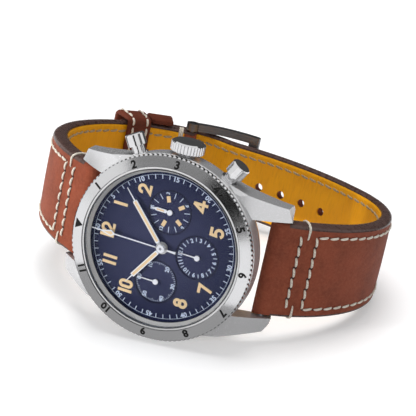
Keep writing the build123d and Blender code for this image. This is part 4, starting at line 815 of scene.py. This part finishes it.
# The movement is sealed in the case. Its plates and bridges are nickel plated, its wheels are
# gilt brass, and its screws, levers and springs are polished steel.
nickel = clouded((0.60, 0.59, 0.56), (0.70, 0.69, 0.66), 1.0, 0.22, 0.12, stretch=(0.3, 6.0, 1.0))
gilt = clouded((0.70, 0.50, 0.20), (0.82, 0.62, 0.30), 3.0, 0.2, 0.1)
dress(surface("nickel_plate", nickel, Metallic=1.0), "main_plate", "train_bridge", "chronograph_bridge",
      "balance_cock", "hairspring")
dress(surface("gilt_brass", gilt, Metallic=1.0), "barrel", "centre_wheel", "third_wheel", "fourth_wheel",
      "escape_wheel", "balance_wheel", "hour_wheel", "cannon_pinion", "minute_wheel", "chrono_wheel",
      "chrono_idler", "minute_counter_wheel", "hour_counter_wheel")
dress(polished_steel, "movement_screws", "ratchet_wheel", "pallet_fork", "column_wheel", "operating_lever",
      "reset_hammer", "winding_stem", "setting_fork")
dress(surface("holder_plastic", dark_rubber), "movement_holder")


# The crown and the two pushers are polished steel. The crown is fluted and hollow over its
# tube, and the pushers have round caps on slim stems.
dress(polished_steel, "crown", "upper_pusher", "lower_pusher")


# The buckle is a steel frame with a straight tongue, both on a bar that passes through the end
# of the short strap. Its polish is drawn out in fine lines along the buckle, and its steel is
# painted dark as a painted reflection of dark surroundings.
# Painted reflection: the steel's tones are far darker than bare steel.
dark_reflection_polish = clouded((0.10, 0.10, 0.105), (0.36, 0.36, 0.37), 1.0, 0.26, 0.2, 0.01, 4.0, 0.7,
                      stretch=(0.4, 7.0, 0.4))
dress(surface("dark_reflection_polish", dark_reflection_polish, Metallic=1.0), "buckle_frame", "buckle_tongue", "buckle_bar")


# The strap is padded nubuck leather over a mustard lining, with dark painted edges. It runs as
# tangent arcs from a bar between the lugs; each arc has a radius and a turn in degrees.
bar_x = 22.0
bar_z = -9.2
short_heading = -152.8
short_arcs = ((36.0, 30.7), (24.9, 41.7), (28.8, 65.6))
long_heading = -28.0
long_arcs = ((33.7, 31.5), (24.7, 46.9), (22.1, 38.0))
long_flat_r = 58.2
dip_r = 12.0
bend_r = 16.0
tail_length = 22.0
tail_round = 6.0
strap_t = 4.4
strap_thin_t = 2.2
strap_taper_length = 55.0
strap_eye_r = 1.35
ply_gap = 0.3
bar_half_width = 10.9
end_half_width = 9.0


def polar(middle, radius, angle):
    """The place at a distance and an angle in degrees from another place."""
    turn = math.radians(angle)
    return middle[0] + radius * math.cos(turn), middle[1] + radius * math.sin(turn)


def bearing(start, end):
    """The heading in degrees from one place to another."""
    return math.degrees(math.atan2(end[1] - start[1], end[0] - start[0]))


def walk(start, heading, arcs, side):
    """Tangent arcs from a place, each with its start, centre, radius, heading and turning side."""
    place = start
    legs = []
    distance = 0.0
    for radius, turn in arcs:
        middle = polar(place, radius, heading + side * 90)
        legs.append((distance, middle, radius, heading, side))
        distance += radius * math.radians(turn)
        heading += side * turn
        place = polar(middle, radius, heading - side * 90)
    return {"legs": legs, "length": distance, "side": side, "round_end": side > 0, "end": place,
            "heading": heading}


def station(path, distance):
    """Place and heading at a distance along a path; before its start it runs on straight."""
    start, middle, radius, heading, side = [leg for leg in path["legs"] if leg[0] <= max(distance, 0.0)][-1]
    if distance < 0 or (path["round_end"] and distance > path["length"]):
        edge = 0.0 if distance < 0 else path["length"]
        x, z, heading = station(path, edge)
        x, z = polar((x, z), distance - edge, heading)
        return x, z, heading
    heading += side * math.degrees((distance - start) / radius)
    x, z = polar(middle, radius, heading - side * 90)
    return x, z, heading


def beside(path, distance, across, out):
    """A point of the strap: across its width, and out from its middle, away from the wrist."""
    x, z, heading = station(path, distance)
    x, z = polar((x, z), out, heading - path["side"] * 90)
    return Vector((x, across, z))


def meet(first, first_r, second, second_r):
    """Where two circles cross, on the right of the line between their middles."""
    gap = math.dist(first, second)
    along = (first_r ** 2 - second_r ** 2 + gap ** 2) / (2 * gap)
    return polar(first, first_r, bearing(first, second) + math.degrees(math.acos(along / first_r)))


short_path = walk((-bar_x, bar_z), short_heading, short_arcs, 1)
long_path = walk((bar_x, bar_z), long_heading, long_arcs, -1)
wrist_middle, last_r = short_path["legs"][-1][1:3]
ply_step = strap_eye_r + ply_gap + strap_thin_t / 2
tail_r = last_r + ply_step
over_bar = bearing(wrist_middle, short_path["end"])
flat_middle = polar(long_path["end"], long_flat_r, long_path["heading"] - 90)
bend_middle = polar(wrist_middle, tail_r - bend_r, over_bar)
dip_middle = meet(flat_middle, long_flat_r + dip_r, bend_middle, bend_r + dip_r)
leg_start = long_path["length"]
leg_heading = long_path["heading"]
for middle, leg_r, side, stop in ((flat_middle, long_flat_r, -1, bearing(flat_middle, dip_middle) - 90),
                                  (dip_middle, dip_r, 1, bearing(bend_middle, dip_middle) - 90),
                                  (bend_middle, bend_r, -1, over_bar - 90)):
    long_path["legs"].append((leg_start, middle, leg_r, leg_heading, side))
    turn = side * (stop - leg_heading) % 360
    leg_start += leg_r * math.radians(turn)
    leg_heading += side * turn
long_path["legs"].append((leg_start, wrist_middle, tail_r, leg_heading, -1))
long_path["length"] = leg_start + tail_length


def half_thickness(path, distance):
    """The padded strap is thick at the lug and thin at the buckle, with a round nose at each bar."""
    share = min(max(distance / strap_taper_length, 0.0), 1.0)
    smooth = share * share * (3 - 2 * share)
    half = (strap_t + (strap_thin_t - strap_t) * smooth) / 2
    if distance < 0:
        half = math.sqrt(max((strap_t / 2) ** 2 - distance ** 2, 0.0))
    if path["round_end"]:
        past = distance - path["length"]
        if abs(past) < strap_eye_r:
            nose = math.sqrt(strap_eye_r ** 2 - past ** 2)
            half = nose if past > 0 else max(half, nose)
    return half


def half_width(path, distance):
    """The strap narrows from the lugs to the buckle, and the tail has round corners."""
    z = station(path, distance)[1]
    depth = (bar_z - z) / (bar_z - short_path["end"][1])
    half = bar_half_width + (end_half_width - bar_half_width) * depth
    past = distance - (path["length"] - tail_round)
    if not path["round_end"] and past > 0:
        half += math.sqrt(max(tail_round ** 2 - past ** 2, 0.0)) - tail_round
    return half


edge_round = 0.95
seam_inset = 2.4
seam_sink = 0.16
seam_swell = 0.10
seam_dip_width = 0.8
face_drop = 0.05
lining_sink = 0.22
face_columns = 30
edge_steps = 7
row_step = 0.7
lining_inset = 0.95
lining_start = 3.4
lining_t = 0.5
lining_bulge = 0.12
lining_rim = 0.02
lining_proud = 0.04
lining_short_inset = 1.7
nose_gap = 0.02
fold_length = 3.4


def row_places(start, end):
    """Distances of the mesh rows along the strap."""
    count = round((end - start) / row_step)
    return [start + (end - start) * index / count for index in range(count + 1)]


def outer_level(path, distance, across):
    """The height of the padded outer face, which dips along the seam and swells in the middle."""
    half = half_thickness(path, distance)
    seam = half_width(path, distance) - seam_inset
    sink = seam_sink * max(0.0, 1 - abs(abs(across) - seam) / seam_dip_width) ** 2
    swell = seam_swell * max(0.0, 1 - (across / seam) ** 2)
    return half - face_drop + (swell - sink) * min(2 * half / strap_thin_t, 1.0)


def leather_section(path, distance):
    """The strap's outline across its width: outer face, painted edge, inner face, painted edge."""
    half = half_thickness(path, distance)
    wide = half_width(path, distance)
    side = min(edge_round, half)
    flat = wide - side
    shares = [2 * index / face_columns - 1 for index in range(face_columns + 1)]
    turns = [math.pi / 2 - math.pi * index / edge_steps for index in range(1, edge_steps)]
    points = [(flat * share, outer_level(path, distance, flat * share)) for share in shares]
    points += [(flat + side * math.cos(turn), half * math.sin(turn)) for turn in turns]
    points += [(-flat * share, -half + min(lining_sink, half * lining_sink)) for share in shares]
    points += [(-flat - side * math.cos(turn), -half * math.sin(turn)) for turn in turns]
    return points


def tube(path, places, section):
    """A closed skin through a section at each place along a path."""
    return loft([[beside(path, distance, across, out) for across, out in section(path, distance)]
                 for distance in places])


def nubuck(x, y, z):
    """Reddish brown nubuck: short nap, soft mottling, darker patches and a few paler rubs."""
    patch = noise(x, y, z, 0.20, 3.0, 0.6)
    nap = noise(x, y, z, 5.5, 4.0, 0.75)
    fleck = noise(x, y, z, 1.5, 4.0, 0.65)
    base = blend_colours(patch * 1.6 - 0.3, (0.135, 0.026, 0.012), (0.285, 0.062, 0.029))
    mottled = blend_colours((fleck - 0.4) * 1.2, base, (0.36, 0.105, 0.052))
    return {
        "Base Color": blend_colours((nap - 0.40) * 0.8, mottled, (0.42, 0.15, 0.08)),
        "Roughness": nap * 0.2 + 0.62,
        "Normal": bump(nap + fleck * 0.7, 0.06),
    }


def mustard_lining(x, y, z):
    """Smooth mustard leather with fine creases across the strap, painted shade darkening the creases."""
    crease = noise(x * 2.2, y * 0.28, z * 2.2, 1.0, 5.0, 0.65)
    pore = noise(x, y, z, 7.0, 3.0, 0.6)
    patch = noise(x, y, z, 0.16, 3.0)
    base = blend_colours(patch, (0.88, 0.365, 0.002), (0.98, 0.475, 0.003))
    # Painted shade: the lining darkens along its creases.
    crease_shaded = blend_colours((crease - 0.48) * 1.1, base, (0.50, 0.16, 0.001))
    return {
        "Base Color": blend_colours((pore - 0.4) * 0.4, crease_shaded, (0.60, 0.24, 0.002)),
        "Roughness": pore * 0.15 + 0.5,
        "Normal": bump(crease + pore * 0.4, 0.10),
    }


def dark_nubuck(x, y, z):
    """The same nubuck, darkened with painted shade for the keepers."""
    paint = nubuck(x, y, z)
    paint["Base Color"] = blend_colours(paint["Roughness"] - 0.12, paint["Base Color"], (0.045, 0.012, 0.008))
    return paint


# Dark brown edge paint, whose paler tone is a painted sheen standing in for the gloss on the edges.
edge_paint_and_sheen = clouded((0.040, 0.020, 0.016), (0.115, 0.066, 0.056), 0.9, 0.22, 0.12, 0.05)
brown_leather = surface("brown_nubuck", nubuck, Specular_IOR_Level=0.2, Sheen_Weight=0.05)
edge_paint = surface("edge_paint", edge_paint_and_sheen, Specular_IOR_Level=0.35)
lining_leather = surface("mustard_leather", mustard_lining, Specular_IOR_Level=0.3)
hole_r = 1.0
hole_spacing = 6.2
hole_count = 7
hole_sides = 24
tongue_hole_back = 2.3
tongue_hole_length = 4.6
lining_end_inset = 1.0


def cut(target, cutters):
    """Takes cutters out of a piece and keeps its materials."""
    for cutter in cutters:
        step = target.modifiers.new("cut", "BOOLEAN")
        step.object = cutter
        step.solver = "EXACT"
        step.operation = "DIFFERENCE"
    bpy.context.view_layer.update()
    made = bpy.data.meshes.new_from_object(target.evaluated_get(bpy.context.evaluated_depsgraph_get()))
    target.modifiers.clear()
    target.data = made
    for cutter in cutters:
        bpy.data.objects.remove(cutter)


def punch(path, distance, length):
    """A round or long punch that stands across the strap's thickness."""
    straight = max(length / 2 - hole_r, 0.0)
    outline = []
    for index in range(hole_sides):
        turn = 2 * math.pi * index / hole_sides
        shift = math.copysign(straight, math.cos(turn))
        outline.append((shift + hole_r * math.cos(turn), hole_r * math.sin(turn)))
    x, z, heading = station(path, distance)
    ahead = Vector((math.cos(math.radians(heading)), 0, math.sin(math.radians(heading))))
    low = Vector((x, 0, z)) - ahead.cross(to_crown) * strap_t
    return placed("punch", mesh_of("punch", *stamped(slab(outline), low, ahead, to_crown, 2 * strap_t)))


def punches():
    """The buckle holes; the last one is longer, for the tongue."""
    return [punch(long_path, distance, tongue_hole_length if index == hole_count - 1 else 2 * hole_r)
            for index, distance in enumerate(holes)]


def paint_edges(made):
    """Paints the round sides and the end, while the faces and the fold at the lug stay leather."""
    made.data.materials.append(edge_paint)
    columns = 2 * (face_columns + edge_steps)
    for face in made.data.polygons:
        row, column = divmod(face.index - 2, columns)
        outer = column < face_columns
        inner = face_columns + edge_steps <= column < 2 * face_columns + edge_steps
        side = row * row_step > fold_length and not (outer or inner)
        face.material_index = 1 if side or face.index == 1 else 0


def strap_leather(name, path, end, stands_for):
    """The strap's leather with its painted edges, from its round nose at the lug to its end."""
    skin = tube(path, row_places(nose_gap - strap_t / 2, end), leather_section)
    made = piece(name, [skin], "case", brown_leather, True, stands_for)
    paint_edges(made)
    return made


def lining_section(path, distance):
    """A thin lining with soft edges, a little proud of the strap's inner face."""
    half = half_thickness(path, distance)
    wide = half_width(path, distance) - lining_inset
    rim = [(wide, lining_t), (wide + lining_bulge, lining_t / 2), (wide, lining_rim)]
    points = [(-across, high - half) for across, high in rim]
    for index in range(1, face_columns):
        points.append((wide * (2 * index / face_columns - 1), -half - lining_proud))
    return points + [(across, high - half) for across, high in reversed(rim)]


def strap_lining(name, path, end, stands_for):
    """The lining glued inside the strap."""
    skin = tube(path, row_places(lining_start, end), lining_section)
    return piece(name, [skin], "case", lining_leather, True, stands_for)


tongue_place = leg_start - tongue_hole_back
holes = [tongue_place + hole_spacing * (index - hole_count + 1) for index in range(hole_count)]
long_end = long_path["length"]
short_end = short_path["length"]
cut(strap_leather("long_strap_leather", long_path, long_end, ["long_strap"]), punches())
cut(strap_lining("long_strap_inside", long_path, long_end - lining_end_inset, ["long_strap_lining"]),
    punches())
strap_leather("short_strap_leather", short_path, short_end + strap_eye_r - nose_gap, ["short_strap"])
strap_lining("short_strap_inside", short_path, short_end - lining_short_inset, ["short_strap_lining"])


# The stitches are thick cream thread: two rows across each strap by the lug, a row along each
# edge, and threads that wrap over the edges near the lug and the buckle. The lining's are the
# same thread painted darker and browner, as painted shade.
stitch_pitch = 2.55
stitch_length = 2.15
stitch_slant = 0.16
stitch_rise = 0.17
stitch_rings = 8
stitch_dive = 0.22
stitch_lift_share = 0.35
thread_r = 0.29
thread_sides = 8
thread_flatness = 0.8
thread_tip_share = 0.4
thread_tip_growth = 3.0
inside_rise_share = 0.6
needle_r = 0.34
needle_spread = 1.08
needle_depth = 0.03
needle_t = 0.05
needle_sides = 12
wrap_lift_share = 0.6
wrap_rise_share = 0.85
wrap_rise = 0.12
wrap_dive = 0.25
wrap_tail = 0.4
wrap_tail_dive = 0.1
wrap_steps = 6
wrap_core = 1.0


def twisted_thread(dark, pale):
    """Thick waxed thread whose plies show as slanting lines."""
    def paint(x, y, z):
        plies = (x + y * 1.2 + z) * 9.0
        twist = plies.math("SINE", plies) * 0.5 + 0.5
        fibre = noise(x, y, z, 9.0)
        return {
            "Base Color": blend_colours(twist * 0.6 + fibre * 0.4, dark, pale),
            "Roughness": fibre * 0.2 + 0.55,
            "Normal": bump(twist, 0.05),
        }
    return paint


def stitch(route):
    """A thread along a route of places, thinner at both ends where it goes into the leather."""
    rings = []
    for index, (place, out) in enumerate(route):
        ahead = (route[min(index + 1, len(route) - 1)][0] - route[max(index - 1, 0)][0]).normalized()
        side = ahead.cross(out).normalized()
        up = side.cross(ahead)
        share = index / (len(route) - 1)
        radius = thread_r * min(1.0, thread_tip_share + thread_tip_growth * min(share, 1 - share))
        ring = circle((0, 0), radius, thread_sides)[::-1]
        rings.append([place + side * across + up * (out * thread_flatness) for across, out in ring])
    return loft(rings)


def thread_height(share, lift):
    """How high the thread's middle lies over the leather, which both of its ends dive into."""
    return lift + stitch_rise * math.sin(math.pi * share) - stitch_dive * abs(2 * share - 1) ** 4


def outward_at(path, distance):
    """The way out of the strap's outer face."""
    way = math.radians(station(path, distance)[2] - path["side"] * 90)
    return Vector((math.cos(way), 0, math.sin(way)))


def face_stitch(path, start, end, inside=False):
    """A stitch on the leather from one distance and width to another."""
    route = []
    for index in range(stitch_rings + 1):
        share = index / stitch_rings
        distance = start[0] + (end[0] - start[0]) * share
        across = start[1] + (end[1] - start[1]) * share
        rise = thread_height(share, thread_r * stitch_lift_share)
        out = outward_at(path, distance)
        if inside:
            level = -half_thickness(path, distance) - lining_proud - rise * inside_rise_share
            route.append((beside(path, distance, across, level), -out))
        else:
            level = outer_level(path, distance, across) + rise
            route.append((beside(path, distance, across, level), out))
    return stitch(route)


def needle_hole(path, distance, across):
    """The dark pit where a stitch goes into the outer face, a sunk disc painted as the hole's shadow."""
    pit = slab(circle((0, 0), needle_r, needle_sides))
    place = beside(path, distance, across, outer_level(path, distance, across) - needle_depth)
    return stamped(pit, place, to_crown, outward_at(path, distance).cross(to_crown), needle_t)


def stitch_row(path, start, end, inside=False):
    """Stitches from one distance and width to another, each a little askew, and their holes."""
    span = math.dist(start, end)
    count = max(1, round(span / stitch_pitch))
    pieces = []
    pits = []
    way = ((end[0] - start[0]) / span, (end[1] - start[1]) / span)
    for index in range(count):
        middle = (index + 0.5) / count
        place = (start[0] + (end[0] - start[0]) * middle, start[1] + (end[1] - start[1]) * middle)
        spots = []
        for sign, spread in ((-1, 1.0), (1, 1.0), (-1, needle_spread), (1, needle_spread)):
            along = sign * stitch_length / 2 * spread
            aside = sign * stitch_slant
            spots.append((place[0] + way[0] * along - way[1] * aside,
                          place[1] + way[1] * along + way[0] * aside))
        pieces.append(face_stitch(path, spots[0], spots[1], inside))
        pits += spots[2:]
    return pieces, [needle_hole(path, *pit) for pit in pits]


def edge_rows(path, start, end, side, inside=False):
    """A row along one edge of the strap, in short spans that follow its taper and its corners."""
    spans = max(1, round((end - start) / (stitch_pitch * 2)))
    distances = [start + (end - start) * index / spans for index in range(spans + 1)]
    places = [(distance, side * (half_width(path, distance) - seam_inset)) for distance in distances]
    rows = [stitch_row(path, *ends, inside) for ends in zip(places, places[1:])]
    return [sum(parts, []) for parts in zip(*rows)]


def wrap_stitch(path, distance, side, reach, under):
    """A stitch that comes up beside the seam, wraps over the edge and goes in underneath."""
    wide = half_width(path, distance)
    half = half_thickness(path, distance)
    proud = thread_r * wrap_lift_share
    over = half + proud
    flat = wide - edge_round
    outline = [(wide - reach, half - wrap_dive), (wide - reach * wrap_rise_share, half + wrap_rise)]
    for index in range(wrap_steps + 1):
        turn = math.pi / 2 - math.pi * index / wrap_steps
        outline.append((flat + (edge_round + proud) * math.cos(turn), over * math.sin(turn)))
    outline += [(wide - under, -half - wrap_rise), (wide - under - wrap_tail, wrap_tail_dive - half)]
    route = []
    for across, out in outline:
        place = beside(path, distance, side * across, out)
        away = place - beside(path, distance, side * (flat - wrap_core), 0.0)
        route.append((place, away.normalized()))
    return stitch(route)


row_one = 4.2
row_two = 7.7
seam_reach = 8.45
wrap_place = 5.7
wrap_reach = 3.3
wrap_under = 1.5
bar_tack_back = 2.9
bar_tack_reach = 2.6
bar_tack_threads = 2
tail_row_inset = 4.6
edge_row_start = 0.3
inner_row_start = 5.4
outer_stitches = []
inner_stitches = []
needle_holes = []
for path in (long_path, short_path):
    last = path["length"] - (tail_row_inset if path["round_end"] else tail_round)
    rows = [stitch_row(path, (place, -seam_reach), (place, seam_reach)) for place in (row_one, row_two)]
    rows += [edge_rows(path, row_two + edge_row_start, last, side) for side in (-1, 1)]
    for row, pits in rows:
        outer_stitches += row
        needle_holes += pits
    for side in (-1, 1):
        outer_stitches.append(wrap_stitch(path, wrap_place, side, wrap_reach, wrap_under))
        inner_stitches += edge_rows(path, inner_row_start, last, side, True)[0]
for side in (-1, 1):
    for count in range(bar_tack_threads):
        place = short_path["length"] - bar_tack_back + count * 2 * thread_r
        outer_stitches.append(wrap_stitch(short_path, place, side, bar_tack_reach, bar_tack_reach))
cream_thread = surface("cream_thread", twisted_thread((0.58, 0.52, 0.42), (0.86, 0.81, 0.71)))
# Painted shade: the lining's stitches are a darker copy of the cream thread.
shaded_thread = surface("shaded_thread", twisted_thread((0.30, 0.21, 0.09), (0.52, 0.41, 0.24)))
needle_shadow = surface("needle_shadow", clouded((0.030, 0.010, 0.007), (0.060, 0.022, 0.015), 4.0, 0.8, 0.1))
piece("strap_stitches", outer_stitches, "case", cream_thread, True)
piece("lining_stitches", inner_stitches, "case", shaded_thread, True)
piece("needle_holes", needle_holes, "case", needle_shadow)


# Two keepers hold the tail. The floating one is a full loop with two rows of stitches round it,
# and the fixed one is open underneath, where it is sewn to the edges of the short strap.
keeper_t = 1.2
keeper_width = 6.5
fixed_keeper_width = 5.6
fixed_keeper_back = 5.0
keeper_spacing = 0.5
keeper_clearance = 0.35
keeper_corner = 0.5
keeper_corner_places = 7
keeper_stitch_share = 0.31
keeper_rim = ((-0.5, 0.25), (-0.5, 0.75), (-0.44, 1.0), (0.44, 1.0), (0.5, 0.75), (0.5, 0.25), (0.44, 0.0),
              (-0.44, 0.0))
keeper_bend_share = 0.9
keeper_lift_share = 0.2


def keeper_loop(half, low, high, inset, closed):
    """The loop at a height in the keeper's thickness, as across and out, from the lower right corner."""
    radius = keeper_corner + inset * keeper_bend_share
    across = half + inset
    top = high + inset
    bottom = low - inset if closed else low
    corners = [((across - radius, top - radius), 0), ((radius - across, top - radius), 90)]
    if closed:
        corners += [((radius - across, bottom + radius), 180), ((across - radius, bottom + radius), 270)]
    points = [] if closed else [(across, bottom)]
    for middle, first in corners:
        points += round_places(middle, radius, first, first + 90, keeper_corner_places)
    return points if closed else points + [(-across, bottom)]


def keeper_skin(place, width, half, low, high, closed):
    """A leather band round the strap with softly rounded rims."""
    loops = [keeper_loop(half, low, high, keeper_t * level, closed) for _, level in keeper_rim]
    return loft([[beside(short_path, place + share * width, *loop[index])
                  for loop, (share, _) in zip(loops, keeper_rim)] for index in range(len(loops[0]))], closed)


def loop_row(place, loop):
    """Stitches that run round a keeper's loop."""
    lengths = [math.dist(loop[index], loop[(index + 1) % len(loop)]) for index in range(len(loop))]
    total = sum(lengths)
    count = round(total / stitch_pitch)

    def spot(distance):
        index = 0
        distance %= total
        while distance > lengths[index]:
            distance -= lengths[index]
            index += 1
        start = Vector(loop[index])
        way = (Vector(loop[(index + 1) % len(loop)]) - start).normalized()
        return start + way * distance, Vector((way.y, -way.x))

    row = []
    for index in range(count):
        route = []
        for step in range(stitch_rings + 1):
            share = step / stitch_rings
            level, out = spot(total * index / count + stitch_length * share)
            level += out * thread_height(share, thread_r * keeper_lift_share)
            base = beside(short_path, place, level.x, level.y)
            route.append((base, beside(short_path, place, level.x + out.x, level.y + out.y) - base))
        row.append(stitch(route))
    return row


fixed_place = short_path["length"] - fixed_keeper_back - fixed_keeper_width / 2
floating_place = fixed_place - (fixed_keeper_width + keeper_width) / 2 - keeper_spacing
inner_level = -strap_thin_t / 2
top_level = ply_step + strap_thin_t / 2 + keeper_clearance
floating_half = half_width(short_path, floating_place) + keeper_clearance
fixed_half = half_width(short_path, fixed_place) + keeper_clearance
floating_low = inner_level - keeper_clearance
# Painted shade: the keepers' nubuck is darkened all over.
keeper_leather = surface("keeper_shaded_nubuck", dark_nubuck, Specular_IOR_Level=0.2)
floating_skin = keeper_skin(floating_place, keeper_width, floating_half, floating_low, top_level, True)
piece("floating_keeper_leather", [floating_skin], "keeper", keeper_leather, True,
      ["floating_keeper"])
fixed_skin = keeper_skin(fixed_place, fixed_keeper_width, fixed_half, inner_level, top_level, False)
piece("fixed_keeper_leather", [fixed_skin], "case", keeper_leather, True, ["fixed_keeper"])
outer_loop = keeper_loop(floating_half, floating_low, top_level, keeper_t, True)
keeper_stitches = []
for share in (-keeper_stitch_share, keeper_stitch_share):
    keeper_stitches += loop_row(floating_place + share * keeper_width, outer_loop)
piece("keeper_stitches", keeper_stitches, "keeper", cream_thread, True)
